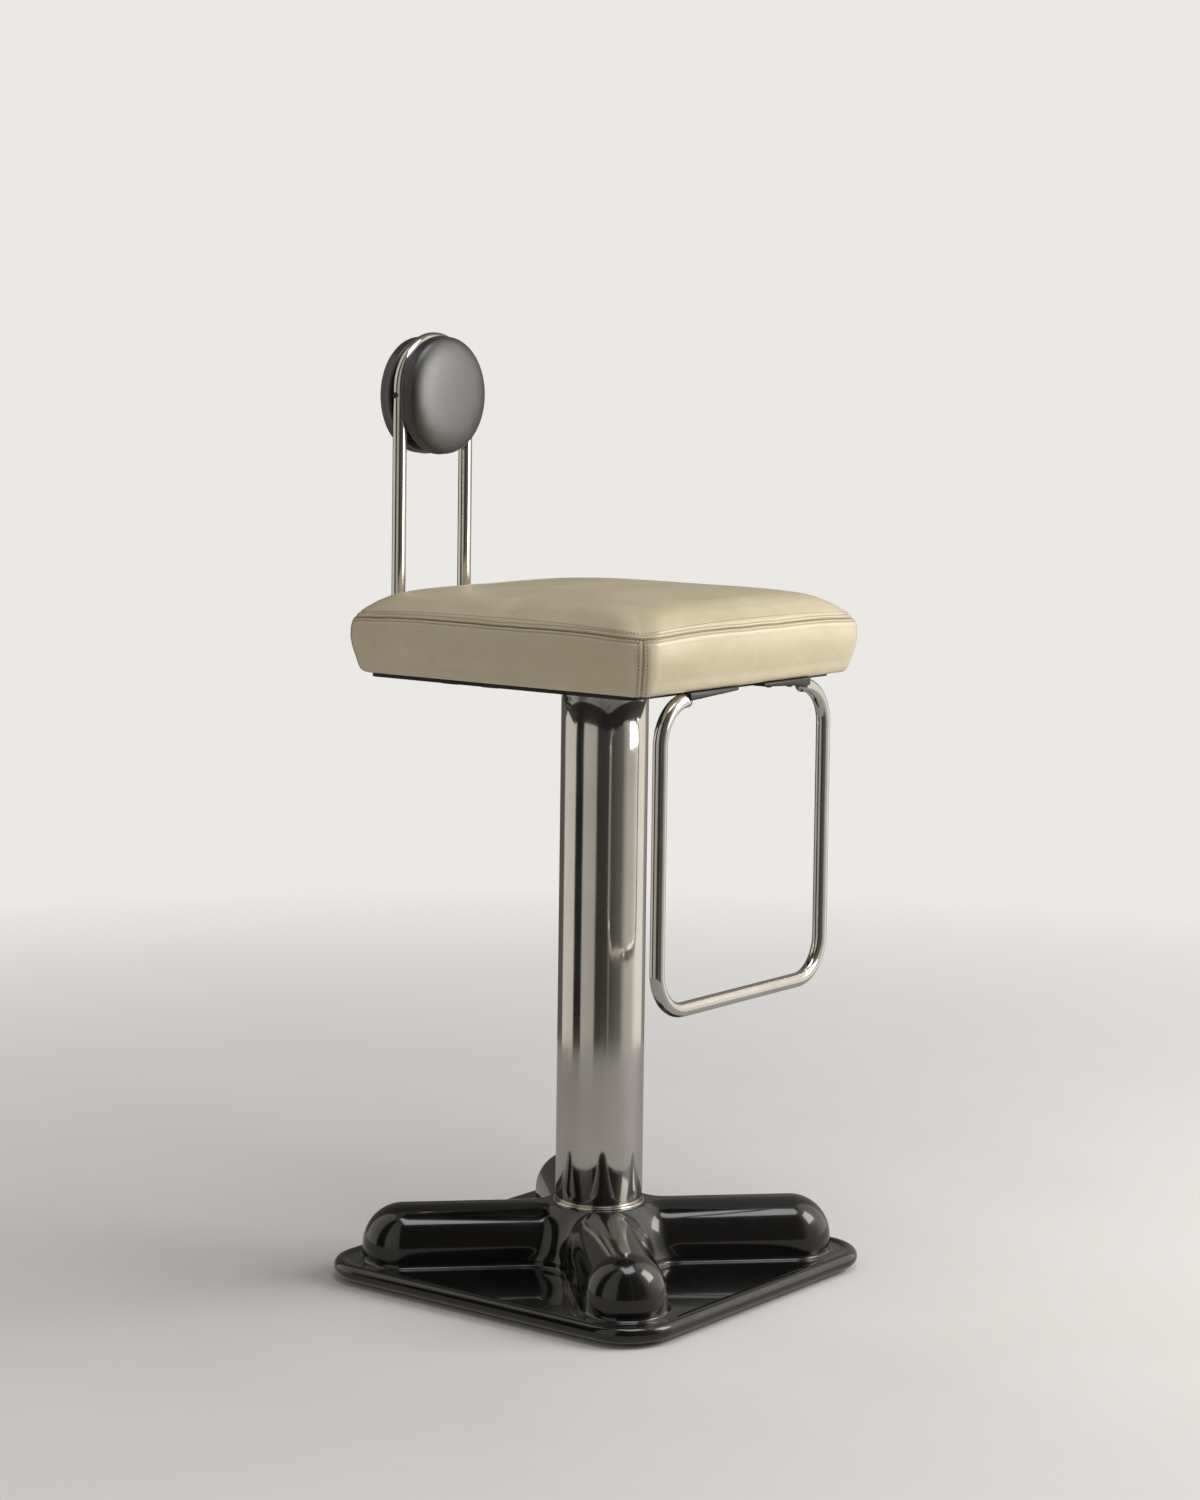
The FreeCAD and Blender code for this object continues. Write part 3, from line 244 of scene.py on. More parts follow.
class Finish:
    """A material and short ways to add the nodes that its pattern needs."""

    def __init__(self, name, metallic=0.0, coat=0.0, coat_roughness=0.05, level=0.5):
        self.material = bpy.data.materials.new(name)
        self.material.use_nodes = True
        self.tree = self.material.node_tree
        self.shader = self.tree.nodes["Principled BSDF"]
        for key, value in (("Metallic", metallic), ("Coat Weight", coat),
                           ("Coat Roughness", coat_roughness), ("Specular IOR Level", level)):
            self.shader.inputs[key].default_value = value
        self.place = self.add("ShaderNodeTexCoord")["Object"]

    def add(self, kind, inputs=None, **settings):
        return wired(self.tree, kind, inputs, **settings)

    def scaled(self, stretch):
        """The place, or the place stretched by a factor along each axis."""
        if stretch is None:
            return self.place
        return self.add("ShaderNodeMapping", {"Vector": self.place, "Scale": stretch})["Vector"]

    def noise(self, scale, detail=3.0, roughness=0.55, stretch=None):
        given = {"Vector": self.scaled(stretch), "Scale": scale, "Detail": detail}
        return self.add("ShaderNodeTexNoise", {**given, "Roughness": roughness})["Fac"]

    def cells(self, scale, feature="F1", stretch=None):
        given = {"Vector": self.scaled(stretch), "Scale": scale}
        return self.add("ShaderNodeTexVoronoi", given, feature=feature)["Distance"]

    def bands(self, scale, distortion=0.0):
        """Even bands up the height."""
        given = {"Vector": self.place, "Scale": scale, "Distortion": distortion}
        return self.add("ShaderNodeTexWave", given, wave_type="BANDS", bands_direction="Z")["Fac"]

    def spread(self, value, low, high, from_low=0.3, from_high=0.7):
        """A pattern's value mapped to a range."""
        given = {"Value": value, "From Min": from_low, "From Max": from_high}
        return self.add("ShaderNodeMapRange", {**given, "To Min": low, "To Max": high})["Result"]

    def blend(self, factor, first, second):
        """Two colours mixed by a pattern. Either may be a colour or another mix."""
        tones = [(*tone, 1) if isinstance(tone, tuple) else tone for tone in (first, second)]
        given = {0: factor, 6: tones[0], 7: tones[1]}
        return self.add("ShaderNodeMix", given, data_type="RGBA")[2]

    def shade(self, pattern, dark, light, from_low=0.3, from_high=0.7):
        """Two colours mixed by a pattern spread over its own range."""
        return self.blend(self.spread(pattern, 0, 1, from_low, from_high), dark, light)

    def math(self, operation, first, second):
        """The sum or the product of two values, each a number or another node's output."""
        return self.add("ShaderNodeMath", {0: first, 1: second}, operation=operation)["Value"]

    def attribute(self, name):
        return self.add("ShaderNodeAttribute", attribute_name=name)["Fac"]

    def bump(self, height, distance, strength=1.0, below=None):
        """A slope to shade by, laid over another one if it is given."""
        given = {"Height": height, "Distance": distance, "Strength": strength}
        if below is not None:
            given["Normal"] = below
        return self.add("ShaderNodeBump", given)["Normal"]

    def done(self, colour, roughness, normal=None):
        for name, output in (("Base Color", colour), ("Roughness", roughness), ("Normal", normal)):
            if output is not None:
                self.tree.links.new(output, self.shader.inputs[name])
        return self.material


def cream_leather():
    """Smooth cream hide: faint mottling, fine pores, soft creases, and painted shade in the seam
    grooves and along the stitch rows.
    """
    f = Finish("cream_leather", coat=0.12, coat_roughness=0.22)
    hide = f.shade(f.noise(9.0, 4.0), (0.59, 0.495, 0.325), (0.66, 0.565, 0.39))
    fine = f.noise(70.0, 5.0, 0.65)
    hide = f.blend(f.spread(fine, 0, 0.16, 0.42, 0.7), hide, (0.49, 0.395, 0.245))
    # Painted shade: the seam's groove and the stitch rows beside it are darkened towards a deep
    # brown, as shade in them would look.
    hide = f.blend(f.math("MULTIPLY", f.attribute("painted_seam_shade"), 0.75), hide, (0.17, 0.12, 0.06))
    grain = f.bump(f.cells(950.0), 0.00012, 0.55)
    crease = f.cells(240.0, "DISTANCE_TO_EDGE", stretch=(1.0, 1.0, 1.4))
    grain = f.bump(f.spread(crease, 0, 1, 0.0, 0.22), 0.00006, 0.6, grain)
    roughness = f.spread(f.noise(14.0, 3.0), 0.34, 0.44)
    return f.done(hide, roughness, f.bump(f.noise(28.0, 4.0, 0.5), 0.0006, 0.35, grain))


def black_leather():
    """Smooth black hide with a satin sheen."""
    f = Finish("black_leather", coat=0.5, coat_roughness=0.36, level=1.0)
    hide = f.shade(f.noise(30.0, 4.0), (0.011, 0.0105, 0.011), (0.022, 0.021, 0.021))
    grain = f.bump(f.cells(800.0), 0.0001, 0.6)
    roughness = f.spread(f.noise(45.0, 4.0), 0.36, 0.46)
    return f.done(hide, roughness, f.bump(f.noise(60.0, 4.0), 0.0004, 0.3, grain))


def polished_steel():
    """Polished tube: faint drawing lines along it and slight waves that soften reflections."""
    f = Finish("polished_steel", metallic=1.0)
    lines = f.noise(1.0, 4.0, 0.6, stretch=(900.0, 900.0, 7.0))
    smears = f.noise(13.0, 4.0, 0.6)
    metal = f.shade(smears, (0.74, 0.72, 0.68), (0.82, 0.8, 0.77))
    roughness = f.math("ADD", f.spread(lines, 0.045, 0.1), f.spread(smears, 0.0, 0.05))
    drawn = f.bump(lines, 0.00002, 0.25)
    return f.done(metal, roughness, f.bump(f.noise(16.0, 2.0), 0.0006, 0.12, drawn))


def black_fibreglass():
    """Gloss black moulding: a deep gel coat with slight orange peel, fine scuffs and dust."""
    f = Finish("black_fibreglass", coat=1.0, coat_roughness=0.03)
    dust = f.spread(f.noise(240.0, 6.0, 0.7), 0, 0.35, 0.58, 0.8)
    gel = f.blend(dust, (0.0045, 0.0043, 0.0042), (0.03, 0.027, 0.024))
    roughness = f.spread(f.noise(20.0, 5.0, 0.65), 0.1, 0.24)
    peel = f.bump(f.noise(95.0, 2.0), 0.0002, 0.12)
    return f.done(gel, roughness, f.bump(f.noise(11.0, 2.0), 0.0012, 0.12, peel))


def shop_finish(name, dark, light, rough, scale=60.0, grain=0.00015):
    """Paint or moulded plastic: two near tones, a range of roughness and a fine bump."""
    f = Finish(name)
    tone = f.shade(f.noise(scale, 4.0), dark, light)
    roughness = f.spread(f.noise(scale * 5, 5.0, 0.65), *rough)
    return f.done(tone, roughness, f.bump(f.noise(scale * 12, 3.0), grain, 0.5))


def bright_steel():
    """Zinc plate: patchy spangle over bare steel."""
    f = Finish("bright_steel", metallic=1.0)
    metal = f.shade(f.cells(160.0), (0.52, 0.53, 0.55), (0.68, 0.68, 0.67), 0.1, 0.6)
    roughness = f.spread(f.noise(90.0, 5.0), 0.22, 0.4)
    return f.done(metal, roughness, f.bump(f.noise(700.0, 3.0), 0.00005, 0.5))


def cast_aluminium():
    """Turned aluminium with tool rings up its height."""
    f = Finish("cast_aluminium", metallic=1.0)
    rings = f.bands(320.0, 0.6)
    metal = f.shade(f.noise(40.0), (0.56, 0.565, 0.57), (0.68, 0.68, 0.68))
    roughness = f.spread(rings, 0.25, 0.38, 0.0, 1.0)
    return f.done(metal, roughness, f.bump(rings, 0.00005, 0.5))


def plywood():
    """Birch ply: veneers in the edge, long grain on the faces."""
    f = Finish("plywood")
    grain = f.noise(1.0, 6.0, 0.6, stretch=(9.0, 160.0, 160.0))
    face = f.shade(grain, (0.5, 0.35, 0.2), (0.66, 0.5, 0.31))
    wood = f.blend(f.spread(f.bands(110.0), 0, 0.35, 0.4, 0.6), face, (0.3, 0.18, 0.09))
    return f.done(wood, f.spread(grain, 0.55, 0.7), f.bump(grain, 0.0002, 0.5))


def black_panel():
    """Thin board with a brushed-on matt black coat."""
    f = Finish("black_panel")
    strokes = f.noise(1.0, 5.0, 0.6, stretch=(240.0, 14.0, 240.0))
    tone = f.shade(strokes, (0.008, 0.008, 0.008), (0.02, 0.019, 0.018))
    return f.done(tone, f.spread(strokes, 0.5, 0.68), f.bump(strokes, 0.0003, 0.5))


def upholstery_foam():
    """Open foam, seen only where the cover ends."""
    f = Finish("upholstery_foam")
    cell = f.cells(600.0)
    tone = f.shade(cell, (0.6, 0.5, 0.28), (0.8, 0.72, 0.48), 0.1, 0.6)
    return f.done(tone, f.spread(cell, 0.8, 0.95, 0.1, 0.6), f.bump(cell, 0.0008, 0.8))


def seam_thread():
    """Twisted brown thread."""
    f = Finish("seam_thread")
    twist = f.noise(900.0, 3.0)
    tone = f.shade(twist, (0.085, 0.055, 0.028), (0.14, 0.095, 0.05))
    return f.done(tone, f.spread(twist, 0.55, 0.75), f.bump(twist, 0.0001, 0.6))


def all_finishes():
    """The finish of each material slot in the record."""
    return {
        "cream_leather": cream_leather(),
        "black_leather": black_leather(),
        "polished_steel": polished_steel(),
        "black_fibreglass": black_fibreglass(),
        "bright_steel": bright_steel(),
        "cast_aluminium": cast_aluminium(),
        "plywood": plywood(),
        "black_panel": black_panel(),
        "foam": upholstery_foam(),
        "dark_steel": shop_finish(
            "dark_steel", (0.006, 0.006, 0.0065), (0.014, 0.0135, 0.013), (0.28, 0.42)),
        "nylon": shop_finish(
            "black_nylon", (0.018, 0.018, 0.019), (0.03, 0.03, 0.031), (0.4, 0.55), 120.0),
        "wheel_plastic": shop_finish(
            "wheel_plastic", (0.012, 0.012, 0.013), (0.024, 0.024, 0.025), (0.3, 0.5), 90.0),
        "grey_tyre": shop_finish(
            "grey_tread", (0.045, 0.045, 0.045), (0.12, 0.115, 0.105), (0.6, 0.85), 150.0, 0.0004),
    }


# The moulded base, as a distance to its surface


WALL = 4.5 * MM
BEAD_RADIUS = 9 * MM
BEAD_HEIGHT = 13.5 * MM
PLATE_TOP = 20 * MM
PLATE_CORNER = 52 * MM
PLATE_HALF = BASE_HIGH.x - BEAD_RADIUS
ARM_RADIUS = 45.5 * MM
ARM_AXIS = 37.2 * MM
ARM_REACH = (SLEEVES_HIGH.x - 10 * MM) * math.sqrt(2)
HUB_FOOT = ARM_AXIS - 10 * MM
HUB_COLLAR = 2.6 * MM
HUB_FLARE = 30 * MM
HUB_CURVE = 1.7
HUB_SLOPE = 0.8
BORE = COLUMN_HIGH.x + 0.2 * MM

# The hollows where forms run into each other
BEAD_BLEND = 2.5 * MM
FOOT_BLEND = 4 * MM
VALLEY_BLEND = 30 * MM
HUB_BLEND = 26 * MM

# The grid that the base is drawn on, and the bands along its creases with finer faces
CELL = 3.3 * MM
GRID_LOW = np.array((-0.2363, -0.2363, -0.0034))
GRID_COUNTS = (144, 144, 29)
CREASE_BAND = 9 * MM
CREASE_DROP = 2 * MM
BEAD_INSET = 7 * MM
BEAD_BAND = 5 * MM


def round_union(first, second, radius):
    """The union of two distances with a hollow of a given radius where they meet."""
    a, b = np.maximum(radius - first, 0), np.maximum(radius - second, 0)
    return np.maximum(radius, np.minimum(first, second)) - np.sqrt(a * a + b * b)


def soft_union(first, second, radius):
    """The union of two distances with a long, soft blend."""
    h = np.maximum(radius - np.abs(first - second), 0) / radius
    return np.minimum(first, second) - h * h * h * radius / 6


def square_distance(x, y, half, corner):
    """How far outside a rounded square."""
    a, b = np.abs(x) - half + corner, np.abs(y) - half + corner
    outside = np.hypot(np.maximum(a, 0), np.maximum(b, 0))
    return outside + np.minimum(np.maximum(a, b), 0) - corner


def arms_distance(x, y, z, radius):
    """How far outside the four arms, which cross as two bars with domed ends."""
    lift = np.maximum(z - ARM_AXIS, 0)
    bars = []
    for turn in (1, -1):
        along = np.abs(x + turn * y) / math.sqrt(2)
        across = (x - turn * y) / math.sqrt(2)
        beyond = np.maximum(along - ARM_REACH, 0)
        bars.append(np.sqrt(beyond * beyond + across * across + lift * lift) - radius)
    return round_union(*bars, VALLEY_BLEND)


def hub_distance(x, y, z, shrink):
    """How far outside the hub's swept cone, which flares from the column's foot."""
    share = np.clip((BASE_HIGH.z - z) / (BASE_HIGH.z - HUB_FOOT), 0, 1)
    radius = COLUMN_HIGH.x + HUB_COLLAR + HUB_FLARE * share**HUB_CURVE - shrink
    return (np.hypot(x, y) - radius) * HUB_SLOPE


def raised_distance(x, y, z, shrink):
    """How far outside the arms and the hub together, or their hollow inside the wall."""
    arms = arms_distance(x, y, z, ARM_RADIUS - shrink)
    return soft_union(arms, hub_distance(x, y, z, shrink), HUB_BLEND)


def base_distance(points):
    """How far outside the moulded base each point is."""
    x, y, z = points.T
    rim = square_distance(x, y, PLATE_HALF, PLATE_CORNER)
    bead = np.hypot(rim, z - BEAD_HEIGHT) - BEAD_RADIUS
    plate = np.maximum(rim, np.abs(z - PLATE_TOP + WALL / 2) - WALL / 2)
    deck = round_union(bead, plate, BEAD_BLEND)
    outer = np.maximum(raised_distance(x, y, z, 0.0), z - BASE_HIGH.z)
    solid = round_union(deck, np.maximum(outer, PLATE_TOP - WALL - z), FOOT_BLEND)
    hollow = np.maximum(raised_distance(x, y, z, WALL), z - (BASE_HIGH.z - WALL))
    solid = np.maximum(solid, -hollow)
    return np.maximum(solid, -np.maximum(np.hypot(x, y) - BORE, ARM_AXIS - z))


def slope(distance, points, step=0.15 * MM):
    """The direction in which a distance grows fastest, and its size."""
    columns = []
    for shift in np.eye(3) * step:
        columns.append((distance(points + shift) - distance(points - shift)) / (2 * step))
    return np.stack(columns, axis=1)


def settled(distance, points, rounds, most=2 * MM):
    """Points drawn onto the surface where a distance is nil, by no more than so much a round."""
    for _ in range(rounds):
        rise = slope(distance, points)
        size = np.maximum((rise * rise).sum(1), 0.05)
        step = rise * (distance(points) / size)[:, None]
        points = points - np.clip(step, -most, most)
    return points


def moulded_base():
    """The base shell, drawn from its distance on a grid and settled onto it."""
    axes = [low + CELL * np.arange(count) for low, count in zip(GRID_LOW, GRID_COUNTS)]
    places = np.stack(np.meshgrid(*axes, indexing="ij"), axis=-1).reshape(-1, 3)
    grid = openvdb.FloatGrid(1.0)
    grid.copyFromArray(base_distance(places).reshape(GRID_COUNTS).astype(np.float32))
    found, quads = grid.convertToQuads(0.0)
    points = settled(base_distance, GRID_LOW + found * CELL, rounds=5)
    obj = mesh_object("moulded_base", points, quads)
    divide_creases(obj)
    points = np.empty(len(obj.data.vertices) * 3)
    obj.data.vertices.foreach_get("co", points)
    points = settled(base_distance, points.reshape(-1, 3), rounds=3)
    obj.data.vertices.foreach_set("co", points.ravel())
    normals = slope(base_distance, points)
    normals /= np.linalg.norm(normals, axis=1)[:, None]
    obj.data.update()
    obj.data.shade_smooth()
    obj.data.normals_split_custom_set_from_vertices([tuple(n) for n in normals])
    return obj


def divide_creases(obj):
    """Finer faces where forms meet: at the foot of the arms and at the bead's inner edge."""
    mesh = bmesh.new()
    mesh.from_mesh(obj.data)
    x, y, z = np.array([face.calc_center_median() for face in mesh.faces]).T
    rim = square_distance(x, y, PLATE_HALF, PLATE_CORNER)
    foot = np.abs(arms_distance(x, y, z, ARM_RADIUS)) < CREASE_BAND
    lip = np.abs(rim + BEAD_INSET) < BEAD_BAND
    near = (z > PLATE_TOP - CREASE_DROP) & (z < PLATE_TOP + CREASE_BAND) & (foot | lip)
    edges = {edge for face, take in zip(mesh.faces, near) if take for edge in face.edges}
    edges = sorted(edges, key=lambda edge: edge.index)
    bmesh.ops.subdivide_edges(mesh, edges=edges, cuts=1, use_grid_fill=True)
    bmesh.ops.triangulate(mesh, faces=[face for face in mesh.faces if len(face.verts) > 4])
    mesh.to_mesh(obj.data)
    mesh.free()


# The cushion: rings of a rounded square from its lower edge up to a grid on its crown


SEAT_LOW = COVER_LOW.z
SEAT_HALF = 211 * MM
SEAT_CORNER = 27 * MM
CROWN_RISE = 5.2 * MM
SIDE_STEPS = 60
CORNER_CROWDING = 0.72

# The side's profile: height over the lower edge, inset from the widest, corner radius, in mm
PROFILE = np.array((
    (0.0, 26.0, 14.0), (0.05, 19.5, 16.0), (1.6, 14.0, 18.0), (6.5, 9.6, 21.0),
    (14.0, 6.4, 23.0), (26.0, 3.0, 25.0), (38.0, 0.6, 27.0), (50.0, 0.0, 29.0),
    (58.0, 0.7, 30.5), (63.3, 2.8, 31.5), (69.0, 6.6, 33.0), (75.0, 13.0, 35.5),
    (81.0, 22.5, 39.0), (86.0, 37.0, 43.0), (89.8, 60.0, 46.0),
)) * MM
SEAM_ROW = 9

# The seam round the top, which bows up between the corners, and the stitches beside it
SEAM_HEIGHT = 63.3 * MM
SEAM_BOW = 5.5 * MM
BOW_REACH = 22 * MM
SEAM_SPAN = 3.9 * MM
CORNER_SPAN = 4.6 * MM
STITCH_PITCH = 3.9 * MM
STITCH_LENGTH = 2.7 * MM
THREAD = 0.9 * MM

# How the leather waves beside a seam: distance from it, width and height of each wave, in mm
SEAM_WAVES = ((0.0, 1.1, -1.5), (2.3, 1.5, 0.55), (3.9, 0.8, -0.6), (7.0, 2.6, 0.35))
# The width of the painted shade in the seam's groove, and the width and strength of the painted
# shade along each stitch row
SEAM_SHADE_WIDTH = 0.9 * MM
ROW_WIDTH = 0.8 * MM
ROW_SHADE = 0.6
CORNER_OUT = 0.25
SIDE_DEPTH = 16 * MM

# The distance given to points that have no seam near
FAR = 1.0

# The swelling: the cloth's settings, and each form's start, cells and furthest move
CLOTH = {
    "quality": 5, "mass": 0.4, "tension_stiffness": 25.0, "compression_stiffness": 25.0,
    "bending_stiffness": 1.5, "use_pressure": True, "uniform_pressure_force": 4.0,
}
SWELL_FRAMES = 20
SEAT_START = (1.012, 1.012, 1)
SEAT_DROP = 4.2 * MM
SEAT_DROP_HEIGHT = 70 * MM
SEAT_HELD = 16 * MM
SEAT_CELL = 6 * MM
SEAT_MOST = 5.5 * MM
NEAR_COUNT = 8
NEAR_SOFTNESS = 1.5 * MM


def smooth_rows(table, samples):
    """Rows of a table at fractional row numbers, along a smooth curve through them."""
    longer = np.vstack((2 * table[0] - table[1], table, 2 * table[-1] - table[-2]))
    index = np.clip(np.floor(samples).astype(int), 0, len(table) - 2)
    part = (samples - index)[:, None]
    a, b, c, d = (longer[index + shift] for shift in range(4))
    return 0.5 * (2 * b + (c - a) * part + (2 * a - 5 * b + 4 * c - d) * part**2
                  + (3 * b - a - 3 * c + d) * part**3)


def ring_rows():
    """The profile's rows at even steps, and at finer ones beside the seam."""
    last = len(PROFILE) - 1
    beside = SEAM_ROW + np.arange(-0.9, 0.91, 0.075)
    below, above = np.arange(0, SEAM_ROW - 0.9, 0.2), np.arange(SEAM_ROW + 1.05, last + 0.01, 0.2)
    samples = np.concatenate((below, beside, above))
    samples[-1] = last
    return smooth_rows(PROFILE, samples)


def on_square(half, corner, side, share):
    """A point of a rounded square: the side's number, and a share of its way from its middle to
    the corner, from -1 to 1."""
    flat = half - corner
    way = np.abs(share) * (flat + corner * math.pi / 4)
    angle = np.clip(way - flat, 0, None) / np.maximum(corner, 1e-9)
    along = (np.minimum(way, flat) + corner * np.sin(angle)) * np.sign(share)
    out = flat + corner * np.cos(angle)
    spin = side * math.pi / 2 - math.pi / 2
    return out * np.cos(spin) - along * np.sin(spin), out * np.sin(spin) + along * np.cos(spin)


def between_corners(share):
    """How far a line round the cushion is free to bow: nil at the corners, one between them."""
    return 1 - np.abs(share) ** 3


def bell(distance, width):
    """One where a distance is nil, fading to nil beyond a width."""
    return np.exp(-((distance / width) ** 2))


def smooth_step(height, reach):
    """A rise from 0 to 1 over a height."""
    share = np.clip(height / reach, 0, 1)
    return share * share * (3 - 2 * share)


def cushion_points():
    """The cushion's rings and grid as points, and the faces between them."""
    even = np.linspace(-1, 1, SIDE_STEPS + 1)
    samples = np.sin(even * math.pi / 2) * CORNER_CROWDING + even * (1 - CORNER_CROWDING)
    sides, shares = np.repeat(np.arange(4), SIDE_STEPS), np.tile(samples[:-1], 4)
    rows = ring_rows()
    points = []
    for height, inset, corner in rows:
        x, y = on_square(SEAT_HALF - inset, corner, sides, shares)
        bow = SEAM_BOW * bell(height - SEAM_HEIGHT, BOW_REACH) * between_corners(shares)
        points.append(np.stack((x, y, SEAT_LOW + height + bow), axis=1))
    count = 4 * SIDE_STEPS
    faces = lattice_faces(len(rows), count)
    faces.append(tuple(range(count))[::-1])
    crown, crown_faces = crowned((len(rows) - 1) * count, *rows[-1], samples)
    return np.vstack(points + [crown]), faces + crown_faces


def crowned(ring, height, inset, corner, samples):
    """A grid that closes the last ring and rises to the crown's middle: its points and faces."""
    half = SEAT_HALF - inset
    size = len(samples)
    index = -np.ones((size, size), int)
    for step in range(SIDE_STEPS):
        index[step, 0] = ring + step
        index[-1, step] = ring + SIDE_STEPS + step
        index[size - 1 - step, -1] = ring + 2 * SIDE_STEPS + step
        index[0, size - 1 - step] = ring + 3 * SIDE_STEPS + step
    points = []
    first = ring + 4 * SIDE_STEPS
    for i in range(1, size - 1):
        for j in range(1, size - 1):
            index[i, j] = first + len(points)
            out = max(abs(samples[i]), abs(samples[j]))
            side, share = side_of(samples[i], samples[j], out) if out else (0, 0)
            x, y = on_square(half * out, corner * out, side, share)
            points.append((float(x), float(y), SEAT_LOW + height + CROWN_RISE * (1 - out**2)))
    faces = [(index[i, j], index[i + 1, j], index[i + 1, j + 1], index[i, j + 1])
             for i in range(size - 1) for j in range(size - 1)]
    return points, faces


def side_of(i, j, out):
    """Which side of a square ring a grid place is on, and its share of the way along it."""
    if j == -out:
        return 0, i / out
    if i == out:
        return 1, j / out
    if j == out:
        return 2, -i / out
    return 3, -j / out


def swelled(points, faces, cell, most):
    """How a stuffed form moves when its cover is inflated: start points and their shifts."""
    start = mesh_object("form", points, faces)
    remesh = start.modifiers.new("cells", "REMESH")
    remesh.mode = "VOXEL"
    remesh.voxel_size = cell
    form = applied(start)
    before = np.array([vertex.co for vertex in form.data.vertices])
    cloth = form.modifiers.new("swell", "CLOTH")
    for key, value in CLOTH.items():
        setattr(cloth.settings, key, value)
    cloth.settings.effector_weights.gravity = 0
    cloth.point_cache.frame_start, cloth.point_cache.frame_end = 1, SWELL_FRAMES
    for step in range(1, SWELL_FRAMES + 1):
        bpy.context.scene.frame_set(step)
    graph = bpy.context.evaluated_depsgraph_get()
    after = np.array([vertex.co for vertex in form.evaluated_get(graph).data.vertices])
    bpy.context.scene.frame_set(1)
    bpy.data.objects.remove(form)
    shift = after - before
    size = np.linalg.norm(shift, axis=1)
    shift *= (np.minimum(size, most) / np.maximum(size, 1e-9))[:, None]
    return before, shift


def carried(points, before, shift):
    """Points moved as the swelled form close to them moves."""
    tree = KDTree(len(before))
    for number, point in enumerate(before):
        tree.insert(point, number)
    tree.balance()
    moved = np.empty_like(points)
    for row, point in enumerate(points):
        found = tree.find_n(point, NEAR_COUNT)
        weights = np.array([1 / (distance + NEAR_SOFTNESS) ** 2 for _, _, distance in found])
        shifts = shift[[number for _, number, _ in found]]
        moved[row] = point + (weights[:, None] * shifts).sum(0) / weights.sum()
    return moved


def seat_cushion():
    """The leather cushion: swelled, then drawn in along its seams."""
    points, faces = cushion_points()
    shape = points
    height = points[:, 2:] - SEAT_LOW
    drop = np.clip(height / SEAT_DROP_HEIGHT, 0, 1)
    start = points * SEAT_START - (0, 0, SEAT_DROP) * drop
    moved = carried(start, *swelled(start, faces, SEAT_CELL, SEAT_MOST))
    free = smooth_step(height, SEAT_HELD)
    shape = points * (1 - free) + moved * free
    obj = mesh_object("seat_cushion", shape, faces)
    draw_seams(obj, points)
    return finer(obj)


def seam_distance(points):
    """How near each point is to the seam round the top or to a corner seam."""
    x, y = np.abs(points[:, 0]), np.abs(points[:, 1])
    seam = points[:, 2] - SEAT_LOW - SEAM_HEIGHT - SEAM_BOW * between_corners(side_share(x, y))
    corner = np.abs(x - y) / math.sqrt(2)
    below = (seam < 0.5 * MM) & (np.hypot(x, y) > CORNER_OUT)
    upright = np.maximum(x, y) > SEAT_HALF - SIDE_DEPTH
    return np.minimum(np.abs(np.where(upright, seam, FAR)), np.where(below, corner, FAR))


def side_share(x, y):
    """A point's share of the way along its side of the cushion, from 0 to 1 at the corners."""
    long_way, short_way = np.maximum(x, y), np.minimum(x, y)
    flat = SEAT_HALF - SEAT_CORNER
    angle = np.arctan2(np.maximum(short_way - flat, 0), np.maximum(long_way - flat, 1e-6))
    run = flat + SEAT_CORNER * math.pi / 4
    return (np.minimum(short_way, flat) + SEAT_CORNER * angle) / run


def draw_seams(obj, points):
    """Draw the leather in along its seams, puff it beside them, and store where shade is painted
    along them: in the seam's groove and along the stitch rows.
    """
    obj.data.update()
    normals = np.array([vertex.normal for vertex in obj.data.vertices])
    shape = np.array([vertex.co for vertex in obj.data.vertices])
    near = seam_distance(points)
    rise = sum(high * MM * bell(near - at * MM, wide * MM) for at, wide, high in SEAM_WAVES)
    shape += normals * rise[:, None]
    obj.data.vertices.foreach_set("co", shape.ravel())
    # Painted shade: a mask that darkens the leather's colour in the seam's groove and, more
    # faintly, along each row of stitches.
    painted_seam_shade = obj.data.attributes.new("painted_seam_shade", "FLOAT", "POINT")
    depth = bell(near, SEAM_SHADE_WIDTH) + ROW_SHADE * bell(near - SEAM_SPAN, ROW_WIDTH)
    painted_seam_shade.data.foreach_set("value", np.clip(depth, 0, 1).astype(np.float32))


# Stitches


# Rays that find the leather start inside the cushion, on a smaller rounded square
RAY_HALF = 0.18
RAY_CORNER = 0.005
RAY_OUT = 0.2
ROW_STEPS = 120
CORNER_STEPS = 12
CORNER_ROW_LOW = 5 * MM
CORNER_ROW_GAP = 1.5 * MM

# How far a row of stitches lies under the leather's surface, in mm
STITCH_SINK = 0.05


